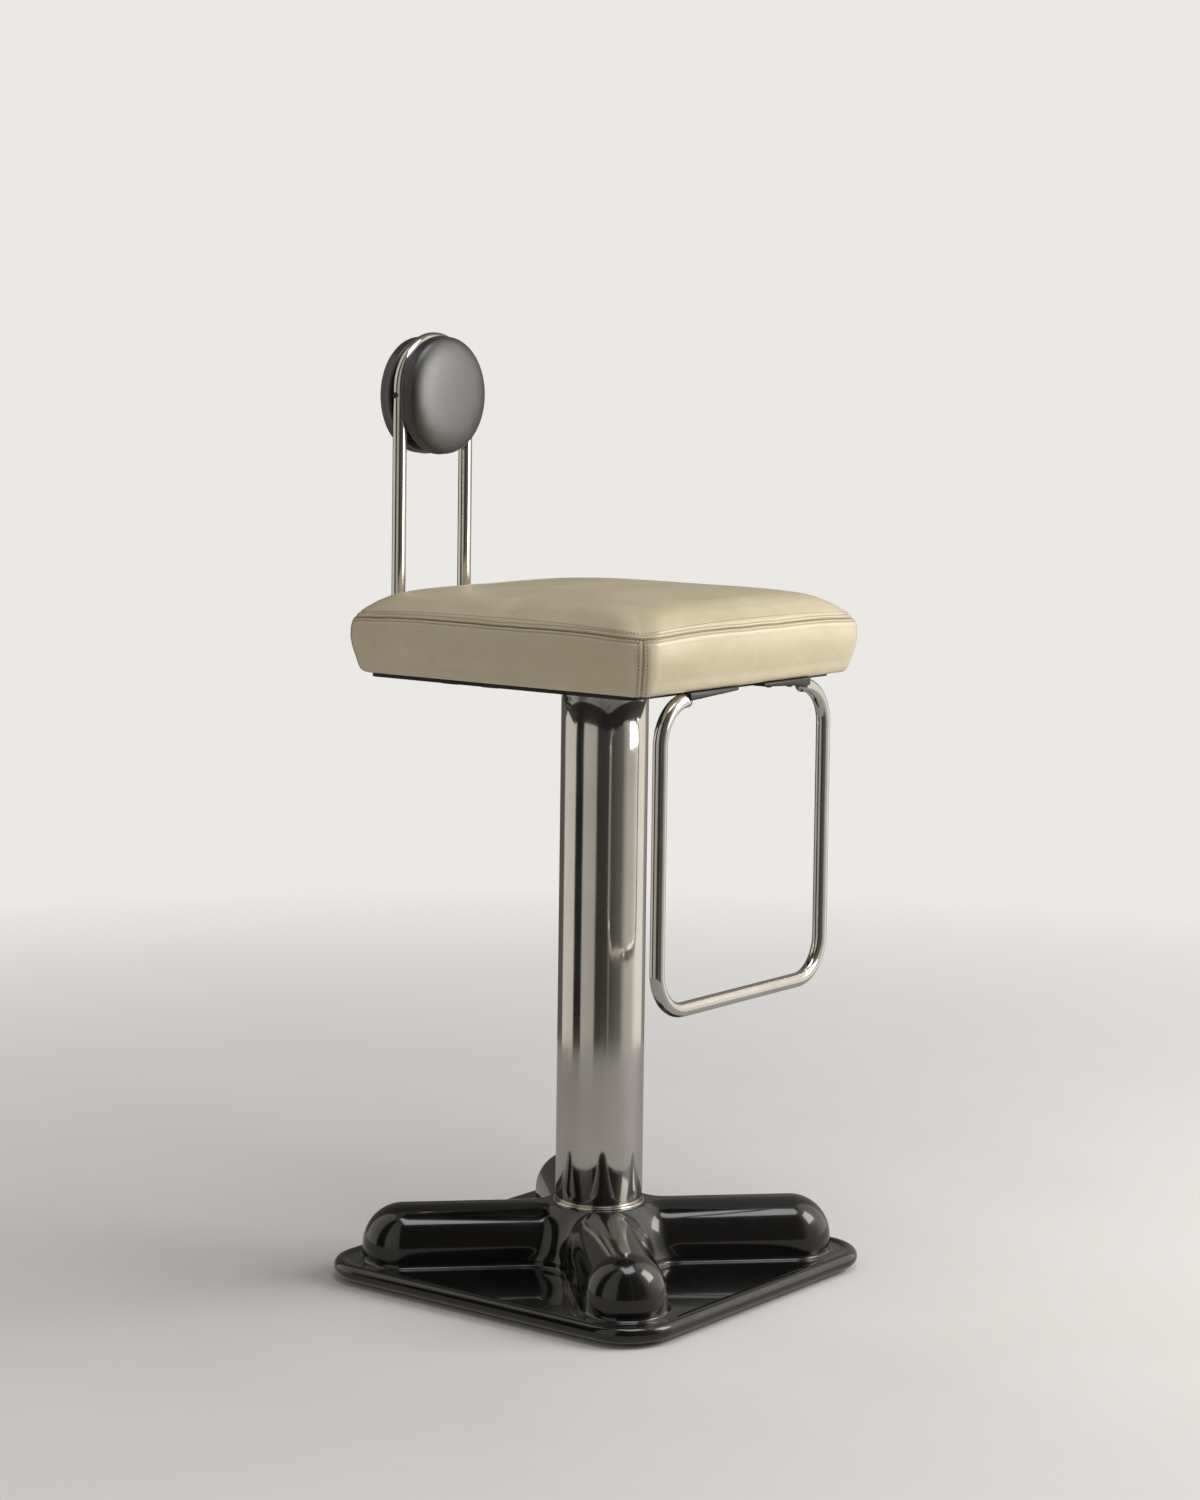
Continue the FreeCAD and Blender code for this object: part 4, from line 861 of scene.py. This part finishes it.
def stitch_tree():
    """Thread stitches along a line: the line's points carry the leather's outward direction."""
    tree = bpy.data.node_groups.new("stitch_rows", "GeometryNodeTree")
    sockets = {"Line": "Geometry", "Pitch": "Float", "Length": "Float", "Thickness": "Float",
               "Thread": "Material"}
    for name, kind in sockets.items():
        tree.interface.new_socket(name, in_out="INPUT", socket_type="NodeSocket" + kind)
    tree.interface.new_socket("Stitches", in_out="OUTPUT", socket_type="NodeSocketGeometry")
    given = wired(tree, "NodeGroupInput")
    line = wired(tree, "GeometryNodeMeshToCurve", {"Mesh": given["Line"]})
    spaced = wired(tree, "GeometryNodeResampleCurve",
                   {"Curve": line["Curve"], "Length": given["Pitch"]}, mode="LENGTH")
    ball = wired(tree, "GeometryNodeMeshUVSphere", {"Segments": 6, "Rings": 4, "Radius": 0.5})
    thick = given["Thickness"]
    size = wired(tree, "ShaderNodeCombineXYZ", {"X": given["Length"], "Y": thick, "Z": thick})
    tangent = wired(tree, "GeometryNodeInputTangent")["Tangent"]
    outward = wired(tree, "GeometryNodeInputNamedAttribute", {"Name": "outward"},
                    data_type="FLOAT_VECTOR")["Attribute"]
    along = wired(tree, "FunctionNodeAlignRotationToVector", {"Vector": tangent}, axis="X")
    upright = wired(tree, "FunctionNodeAlignRotationToVector",
                    {"Rotation": along["Rotation"], "Vector": outward}, axis="Z", pivot_axis="X")
    placed = wired(tree, "GeometryNodeInstanceOnPoints", {
        "Points": spaced["Curve"], "Instance": ball["Mesh"],
        "Rotation": upright["Rotation"], "Scale": size["Vector"]})
    real = wired(tree, "GeometryNodeRealizeInstances", {"Geometry": placed["Instances"]})
    dressed = wired(tree, "GeometryNodeSetMaterial",
                    {"Geometry": real["Geometry"], "Material": given["Thread"]})
    wired(tree, "NodeGroupOutput", {"Stitches": dressed["Geometry"]})
    return tree


def stitched(name, lines, thread):
    """Stitches along lines, each a list of (point, outward) pairs, as one plain mesh."""
    points, edges, outward = [], [], []
    for line in lines:
        start = len(points)
        points += [tuple(point) for point, _ in line]
        outward += [direction for _, direction in line]
        edges += [(start + n, start + n + 1) for n in range(len(line) - 1)]
    mesh = bpy.data.meshes.new(name)
    mesh.from_pydata(points, edges, [])
    mesh.attributes.new("outward", "FLOAT_VECTOR", "POINT").data.foreach_set(
        "vector", np.array(outward, np.float32).ravel())
    obj = added(name, mesh)
    rows = obj.modifiers.new("rows", "NODES")
    rows.node_group = stitch_tree()
    given = {"Pitch": STITCH_PITCH, "Length": STITCH_LENGTH, "Thickness": THREAD, "Thread": thread}
    for item in rows.node_group.interface.items_tree:
        if item.in_out == "INPUT" and item.name in given:
            rows[item.identifier] = given[item.name]
    applied(obj)
    obj.data.shade_smooth()
    return obj


def on_surface(skin, starts, directions):
    """Where rays that start inside a piece meet its surface, with the outward direction there."""
    found = []
    for start, direction in zip(starts, directions):
        point, normal, _, _ = skin.ray_cast(Vector(start), Vector(direction))
        if point is not None:
            found.append((point - normal * STITCH_SINK * MM, normal))
    return found


def cushion_stitches(cushion, thread):
    """The rows above and below the seam round the top, and the rows beside each corner seam."""
    skin = BVHTree.FromObject(cushion, bpy.context.evaluated_depsgraph_get())
    lines = []
    seam = SEAT_LOW + SEAM_HEIGHT
    for offset in (SEAM_SPAN, -SEAM_SPAN):
        starts, ways = [], []
        for side in range(4):
            for share in np.linspace(-1, 1, ROW_STEPS + 1)[:-1]:
                x, y = on_square(RAY_HALF, RAY_CORNER, side, share)
                far_x, far_y = on_square(SEAT_HALF, SEAT_CORNER, side, share)
                starts.append((x, y, seam + SEAM_BOW * between_corners(share) + offset))
                ways.append(Vector((far_x - x, far_y - y, 0)).normalized())
        ring = on_surface(skin, starts, ways)
        lines.append(ring + ring[:1])
    heights = np.linspace(
        SEAT_LOW + CORNER_ROW_LOW, seam - SEAM_SPAN - CORNER_ROW_GAP, CORNER_STEPS)
    for side in range(4):
        angle = side * math.pi / 2 + math.pi / 4
        out = np.array((math.cos(angle), math.sin(angle), 0))
        for offset in (CORNER_SPAN, -CORNER_SPAN):
            across = np.array((-math.sin(angle), math.cos(angle), 0)) * offset
            starts = [out * RAY_OUT + across + (0, 0, height) for height in heights]
            lines.append(on_surface(skin, starts, [out] * len(starts)))
    return stitched("seam_stitches", lines, thread)


# The pads of the backrest


PAD_RADIUS = FRONT_HIGH.x
PAD_CENTRE = (FRONT_LOW.z + FRONT_HIGH.z) / 2
PAD_STEPS = 96
PAD_WALL = 9.5 * MM
BACK_LAP = 0.1 * MM

# A pad's outline: shares of its radius over its back, insets and depths round its edge in mm,
# and shares of its radius over its domed face
PAD_BACK = (0.25, 0.5, 0.72, 0.86)
PAD_EDGE = ((2.6, 0.0), (1.0, 0.5), (0.2, 2.0), (0.0, 4.5))
PAD_FACE = (0.995, 0.98, 0.955, 0.92, 0.87, 0.8, 0.7, 0.58, 0.44, 0.3, 0.18, 0.08)
FACE_CURVE = 3.4

PAD_START = (0.975, 1, 0.975)
PAD_HELD = 5 * MM
PAD_CELL = 4 * MM
PAD_MOST = 4 * MM


def pad_profile(depth):
    """Radius and depth of a pad's outline from the middle of its back to the middle of its face:
    an upright wall, then a soft shoulder that runs into the domed face."""
    rows = [(PAD_RADIUS * share, 0.0) for share in PAD_BACK]
    rows += [(PAD_RADIUS - inset * MM, deep * MM) for inset, deep in PAD_EDGE]
    rows.append((PAD_RADIUS, PAD_WALL))
    for share in PAD_FACE:
        rise = math.sqrt(1 - share**FACE_CURVE)
        rows.append((PAD_RADIUS * share, PAD_WALL + (depth - PAD_WALL) * rise))
    return rows


def round_pad(name, back_y, face_y):
    """A leather pad: a soft disc with its flat back on the backrest's frame."""
    toward = 1 if face_y > back_y else -1
    rows = pad_profile(abs(face_y - back_y))
    angles = full_turn(PAD_STEPS) * -toward
    points = [(r * math.cos(a), back_y + toward * depth, PAD_CENTRE + r * math.sin(a))
              for r, depth in rows for a in angles]
    points = np.array(points + [(0, back_y, PAD_CENTRE), (0, face_y, PAD_CENTRE)])
    faces = lattice_faces(len(rows), PAD_STEPS)
    last = (len(rows) - 1) * PAD_STEPS
    for column in range(PAD_STEPS):
        beside = (column + 1) % PAD_STEPS
        faces.append((len(points) - 2, beside, column))
        faces.append((last + column, last + beside, len(points) - 1))
    shape = points
    middle = np.array((0, back_y, PAD_CENTRE))
    start = (points - middle) * PAD_START + middle
    moved = carried(start, *swelled(start, faces, PAD_CELL, PAD_MOST))
    free = np.clip(np.abs(points[:, 1:2] - back_y) / PAD_HELD, 0, 1)
    shape = points * (1 - free) + moved * free
    return finer(mesh_object(name, shape, faces))


# The tubes, the shoes and the column


TUBE_RADIUS = (REST_HIGH.y - REST_LOW.y) / 2
REST_MIDDLE = (REST_LOW.y + REST_HIGH.y) / 2
TUBE_WALL = 1.5 * MM
TUBE_BEND = 46 * MM
TUBE_PLUG = 6 * MM
ARCH_STEPS = 64
SHOE_INNER = 24 * MM
SHOE_OUTER = 114 * MM
SHOE_HALF = 9.5 * MM
SHOE_THICK = 9 * MM
SHOE_THIN = 4 * MM
SHOE_EDGE = 2.2 * MM

# The bolts under the shoes, and a head's outline: radius and drop, in mm
BOLT_PLACES = (-0.085, -0.045, 0.045, 0.085)
BOLT_HEAD = ((0.2, 1.9), (2.2, 1.75), (3.4, 1.1), (4.0, 0.2), (4.0, -1.5), (0.2, -1.5))
BOLT_STEPS = 24

COLUMN_WALL = 2 * MM
COLUMN_EASE = 0.4 * MM
COLUMN_ROWS = 8
RING_LIP = 0.5 * MM
RING_EASE = 0.35 * MM
RING_ROUND = 0.9 * MM


def backrest_tube():
    """One tube: level leg, bend, upright, arch and back down the other side."""
    half = BACK_HIGH.x - TUBE_RADIUS
    low, back = BACK_LOW.z + TUBE_RADIUS, BACK_HIGH.y - TUBE_RADIUS
    centre = BACK_HIGH.z - TUBE_RADIUS - half
    left = bent_line(((half, BACK_LOW.y, low), (half, back, low), (half, back, centre)), TUBE_BEND)
    arch = [(half * math.cos(a), back, centre + half * math.sin(a))
            for a in np.linspace(0, math.pi, ARCH_STEPS)[1:-1]]
    right = [point * (-1, 1, 1) for point in reversed(left)]
    return tube("backrest_tube", left + arch + right, TUBE_RADIUS, TUBE_WALL)


def footrest_tube():
    """One tube bent to a rounded rectangle whose ends face each other under the seat."""
    out, end = REST_HIGH.x - TUBE_RADIUS, SHOE_OUTER - TUBE_PLUG
    low, high = REST_LOW.z + TUBE_RADIUS, REST_HIGH.z - TUBE_RADIUS
    corners = ((-end, high), (-out, high), (-out, low), (out, low), (out, high), (end, high))
    path = bent_line([(x, REST_MIDDLE, z) for x, z in corners], TUBE_BEND)
    return tube("footrest_tube", path, TUBE_RADIUS, TUBE_WALL)


def shoe_height(x):
    """The height of a shoe's sloping underside at a distance from the stool's middle."""
    share = (abs(x) - SHOE_INNER) / (SHOE_OUTER - SHOE_INNER)
    return SHOES_HIGH.z - SHOE_THIN - (SHOE_THICK - SHOE_THIN) * share


def tapered_shoes():
    """The dark shoes that hold the footrest's ends, thin at their inner ends."""
    points, faces = [], []
    box = [(0, 1, 3, 2), (4, 6, 7, 5), (0, 4, 5, 1), (2, 3, 7, 6), (0, 2, 6, 4), (1, 5, 7, 3)]
    for side in (-1, 1):
        start = len(points)
        for x in (SHOE_INNER * side, SHOE_OUTER * side):
            for y in (REST_MIDDLE - SHOE_HALF, REST_MIDDLE + SHOE_HALF):
                points += [(x, y, shoe_height(x)), (x, y, SHOES_HIGH.z)]
        faces += [tuple(start + n for n in (face if side > 0 else face[::-1])) for face in box]
    return eased(mesh_object("tapered_shoes", points, faces), SHOE_EDGE)


def shoe_bolts():
    """Low round heads under the shoes."""
    points, faces = [], []
    for place in BOLT_PLACES:
        start = len(points)
        for radius, drop in BOLT_HEAD:
            level = shoe_height(place) - drop * MM
            for angle in -full_turn(BOLT_STEPS):
                x, y = radius * MM * math.cos(angle), radius * MM * math.sin(angle)
                points.append((place + x, REST_MIDDLE + y, level))
        faces += lattice_faces(len(BOLT_HEAD), BOLT_STEPS, start=start)
        faces.append(tuple(range(start, start + BOLT_STEPS))[::-1])
        faces.append(tuple(range(len(points) - BOLT_STEPS, len(points))))
    return mesh_object("shoe_bolts", points, faces)


def column_tube():
    """The column, with its edges eased."""
    outer, low, high = COLUMN_HIGH.x, COLUMN_LOW.z, COLUMN_HIGH.z
    inner, near = outer - COLUMN_WALL, outer - COLUMN_EASE
    heights = np.linspace(low + COLUMN_EASE, high - COLUMN_EASE, COLUMN_ROWS)
    ends = [(near, high), (inner, high), (inner, low), (near, low)]
    return turned("column", [(outer, z) for z in heights] + ends)


def foot_ring():
    """The thin ring where the column meets the base."""
    inner, outer = COLUMN_HIGH.x, RING_HIGH.x
    low, high = RING_LOW.z, RING_HIGH.z
    profile = [(inner, low), (outer, low), (outer, low + RING_LIP),
               (outer - RING_EASE, high - RING_EASE), (outer - RING_ROUND, high), (inner, high)]
    return turned("column_foot_ring", profile)


def winding_spring():
    """The return spring from its node, with the points that its faces share merged."""
    mesh = frame["nodes"]["return_spring"].data.copy()
    wire = bmesh.new()
    wire.from_mesh(mesh)
    bmesh.ops.remove_doubles(wire, verts=wire.verts, dist=0.01 * MM)
    wire.to_mesh(mesh)
    wire.free()
    return added("winding_spring", mesh)


# The room


BACKGROUND = (0.83, 0.81, 0.78, 1)
SURROUND = (0.95, 0.93, 0.9, 1)
SURROUND_STRENGTH = 0.24

# The floor's half width, where it fades into the surround, and the painted reflection that stands
# in for it in mirrors: a fixed dark glow and its share
FLOOR_HALF = 30
FLOOR_FADE = (0.5, 2.6)
FLOOR_PAINTED_REFLECTION = (0.2, 0.185, 0.165, 1)
PAINTED_REFLECTION_SHARE = 0.75

# The lamps: power, width and height, bearing from -Y, height over the floor and distance
LAMPS = {
    "key": (74.0, 1.7, 1.8, 40, 1.7, 2.6),
    "fill": (8.0, 1.6, 1.6, -95, 1.4, 3.0),
    "top": (18.0, 1.4, 1.4, -20, 3.0, 0.6),
}
LAMPS_AIM = Vector((0, 0, 0.55))

# What polished surfaces reflect round the stool: bearing from the camera's side, and a grey
REFLECTED = (
    (-180, 0.10), (-124, 0.10), (-121, 0.62), (-80, 0.56), (-77, 0.02), (-56, 0.02), (-54, 0.42),
    (-20, 0.36), (-17, 0.035), (15, 0.05), (16.5, 0.2), (18, 0.2), (19.5, 0.06), (48, 0.12),
    (62, 0.42), (84, 0.5), (100, 0.85), (128, 0.85), (136, 0.3), (180, 0.14),
)
SCREEN_RADIUS = 1.25
SCREEN_HEIGHT = 3.2
SCREEN_STEPS = 72
CARD_TINT = (1, 0.94, 0.84)

# The bright pane among the cards: its bearings, heights, colour and strength
PANE_RADIUS = 1.2
PANE_BEARINGS = (70, 97)
PANE_HEIGHTS = (0.66, 1.6)
PANE_COLOUR = (1.0, 0.95, 0.86, 1)
PANE_STRENGTH = 5.0
PANE_STEPS = 9


def studio():
    """A pale floor that fades into an even surround, soft lamps, and the screen of light and
    dark cards that only polished surfaces show."""
    pale_floor()
    card_screen()
    bright_pane()
    for name, (power, width, tall, bearing, height, away) in LAMPS.items():
        lamp(name, power, (width, tall), math.radians(bearing), height, away)
    world = bpy.data.worlds.new("surround")
    bpy.context.scene.world = world
    world.use_nodes = True
    tree = world.node_tree
    tree.nodes.clear()
    light = wired(tree, "ShaderNodeBackground", {"Color": SURROUND, "Strength": SURROUND_STRENGTH})
    seen = wired(tree, "ShaderNodeBackground", {"Color": BACKGROUND})
    ray = wired(tree, "ShaderNodeLightPath")
    mix = wired(tree, "ShaderNodeMixShader", {
        "Fac": ray["Is Camera Ray"], 1: light["Background"], 2: seen["Background"]})
    wired(tree, "ShaderNodeOutputWorld", {"Surface": mix["Shader"]})


def pale_floor():
    """The floor: a matt grey near the stool that turns into the surround's colour far from it, and
    that shows in reflections mostly as a painted dark glow.
    """
    corners = [(FLOOR_HALF * x, FLOOR_HALF * y, 0) for x, y in ((-1, -1), (1, -1), (1, 1), (-1, 1))]
    floor = mesh_object("floor", corners, [(0, 1, 2, 3)])
    f = Finish("pale_floor")
    tone = f.shade(f.noise(3.0, 3.0), (0.76, 0.745, 0.72), (0.79, 0.775, 0.75))
    floor.data.materials.append(f.done(tone, f.spread(f.noise(5.0), 0.6, 0.7)))
    ray = f.add("ShaderNodeLightPath")
    away = f.add("ShaderNodeVectorMath", {0: f.place}, operation="LENGTH")
    far = f.spread(away["Value"], 0, 1, *FLOOR_FADE)
    glow = f.add("ShaderNodeEmission", {"Color": BACKGROUND})
    # Painted reflection: to glossy rays the floor is mostly a fixed dark glow in place of its lit
    # pale grey.
    painted_reflection = f.add("ShaderNodeEmission", {"Color": FLOOR_PAINTED_REFLECTION})
    seen = f.add("ShaderNodeMixShader", {
        "Fac": f.math("MULTIPLY", far, ray["Is Camera Ray"]),
        1: f.shader.outputs["BSDF"], 2: glow["Emission"]})
    both = f.add("ShaderNodeMixShader", {
        "Fac": f.math("MULTIPLY", ray["Is Glossy Ray"], PAINTED_REFLECTION_SHARE),
        1: seen["Shader"], 2: painted_reflection["Emission"]})
    f.tree.links.new(both["Shader"], f.tree.nodes["Material Output"].inputs["Surface"])


def reflected_wall(name, radius, angles, heights, closed, material):
    """An upright wall round the stool that only polished surfaces show."""
    points = [(radius * math.cos(a), radius * math.sin(a), z) for z in heights for a in angles]
    wall = mesh_object(name, points, lattice_faces(2, len(angles), closed))
    wall.data.materials.append(material)
    for rays in ("camera", "diffuse", "shadow", "transmission"):
        setattr(wall, "visible_" + rays, False)


def card_screen():
    """A round wall of cards, seen only in reflections."""
    material = bpy.data.materials.new("cards")
    material.use_nodes = True
    tree = material.node_tree
    tree.nodes.clear()
    place = wired(tree, "ShaderNodeTexCoord")["Object"]
    spin = (0, 0, math.radians(180 - BEARING))
    spun = wired(tree, "ShaderNodeMapping", {"Vector": place, "Rotation": spin})
    turn = wired(tree, "ShaderNodeTexGradient", {"Vector": spun["Vector"]}, gradient_type="RADIAL")
    cards = wired(tree, "ShaderNodeValToRGB", {"Fac": turn["Fac"]})
    stops = cards["Color"].node.color_ramp.elements
    for angle, grey in REFLECTED:
        share = (angle + 180) / 360
        stop = stops[0] if share == 0 else stops[-1] if share == 1 else stops.new(share)
        stop.color = (*(grey * tint for tint in CARD_TINT), 1)
    glow = wired(tree, "ShaderNodeEmission", {"Color": cards["Color"]})
    wired(tree, "ShaderNodeOutputMaterial", {"Surface": glow["Emission"]})
    angles, heights = full_turn(SCREEN_STEPS), (0, SCREEN_HEIGHT)
    reflected_wall("card_screen", SCREEN_RADIUS, angles, heights, True, material)


def bright_pane():
    """The window's pane: it puts the highlights on the domes, the rods and the pads."""
    material = bpy.data.materials.new("pane")
    material.use_nodes = True
    shader = material.node_tree.nodes["Principled BSDF"]
    shader.inputs["Base Color"].default_value = (0, 0, 0, 1)
    shader.inputs["Emission Color"].default_value = PANE_COLOUR
    shader.inputs["Emission Strength"].default_value = PANE_STRENGTH
    angles = np.radians(np.linspace(*PANE_BEARINGS, PANE_STEPS) + BEARING + 180)
    reflected_wall("bright_pane", PANE_RADIUS, angles, PANE_HEIGHTS, False, material)


def lamp(name, power, size, bearing, height, away):
    """A soft rectangular lamp that faces the stool, at a bearing round it from -Y."""
    data = bpy.data.lights.new(name, "AREA")
    data.energy = power
    data.shape = "RECTANGLE"
    data.size, data.size_y = size
    obj = added(name, data)
    obj.location = (math.sin(bearing) * away, -math.cos(bearing) * away, height)
    obj.rotation_euler = (LAMPS_AIM - obj.location).to_track_quat("-Z", "Y").to_euler()


def camera():
    """The camera at the photograph's place."""
    data = bpy.data.cameras.new("camera")
    data.sensor_width = SENSOR
    data.lens = FOCAL_PIXELS / FRAME_HEIGHT * SENSOR
    data.shift_x = (FRAME_WIDTH / 2 - AXIS_PIXEL[0]) / FRAME_HEIGHT
    data.shift_y = (AXIS_PIXEL[1] - FRAME_HEIGHT / 2) / FRAME_HEIGHT
    obj = added("camera", data)
    bearing, pitch, roll = (math.radians(angle) for angle in (BEARING, PITCH, ROLL))
    away = Vector((-math.cos(bearing), -math.sin(bearing), 0))
    back = away * math.cos(pitch) + Vector((0, 0, math.sin(pitch)))
    right = Vector((math.sin(bearing), -math.cos(bearing), 0))
    up = back.cross(right)
    matrix = obj.matrix_world.to_3x3()
    rolled = (right * math.cos(roll) + up * math.sin(roll),
              up * math.cos(roll) - right * math.sin(roll), back)
    for row in range(3):
        matrix[row] = [axis[row] for axis in rolled]
    obj.rotation_euler = matrix.to_euler()
    obj.location = away * STAND_OFF + Vector((0, 0, EYE_HEIGHT))
    bpy.context.scene.camera = obj


# Putting it together


def painted(obj, material):
    """Give an object one finish alone."""
    obj.data.materials.clear()
    obj.data.materials.append(material)
    return obj


def dress(obj, material, body, slot, *replaced):
    """Give a piece its finish, its body and the nodes that it stands for."""
    painted(obj, material)
    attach(obj, body)
    if replaced:
        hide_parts(*replaced)
    return obj


def finish_nodes(finishes):
    """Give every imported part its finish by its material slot."""
    for row in frame["record"]["subparts"]:
        painted(frame["nodes"][row["node"]], finishes[row["material_slot"]])


def main():
    """Dress the stool and light it."""
    bpy.context.scene.view_settings.view_transform = "Standard"
    camera()
    finishes = all_finishes()
    finish_nodes(finishes)
    painted(frame["nodes"]["strap_screws"], finishes["dark_steel"])
    hard_pieces = (
        (moulded_base, "base", "black_fibreglass", "base_shell"),
        (column_tube, "base", "polished_steel", "column_tube"),
        (foot_ring, "base", "polished_steel", "foot_ring"),
        (backrest_tube, "seat", "polished_steel", "backrest_loop"),
        (footrest_tube, "seat", "polished_steel", "footrest_loop"),
        (tapered_shoes, "seat", "dark_steel", "footrest_shoes"),
        (shoe_bolts, "seat", "dark_steel", "shoe_screws"),
    )
    for piece, body, slot, node in hard_pieces:
        dress(piece(), finishes[slot], body, slot, node)
    cushion = seat_cushion()
    dress(cushion, finishes["cream_leather"], "seat", "cream_leather", "seat_cover", "seat_foam")
    thread = seam_thread()
    dress(cushion_stitches(cushion, thread), thread, "seat", "cream_leather")
    front = round_pad("front_round_pad", FRONT_HIGH.y + BACK_LAP, FRONT_LOW.y)
    dress(front, finishes["black_leather"], "seat", "black_leather", "front_pad")
    rear = round_pad("rear_round_pad", REAR_LOW.y - BACK_LAP, REAR_HIGH.y)
    dress(rear, finishes["black_leather"], "seat", "black_leather", "rear_pad")
    spring = painted(winding_spring(), finishes["bright_steel"])
    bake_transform(spring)
    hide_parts("return_spring")
    studio()


main()
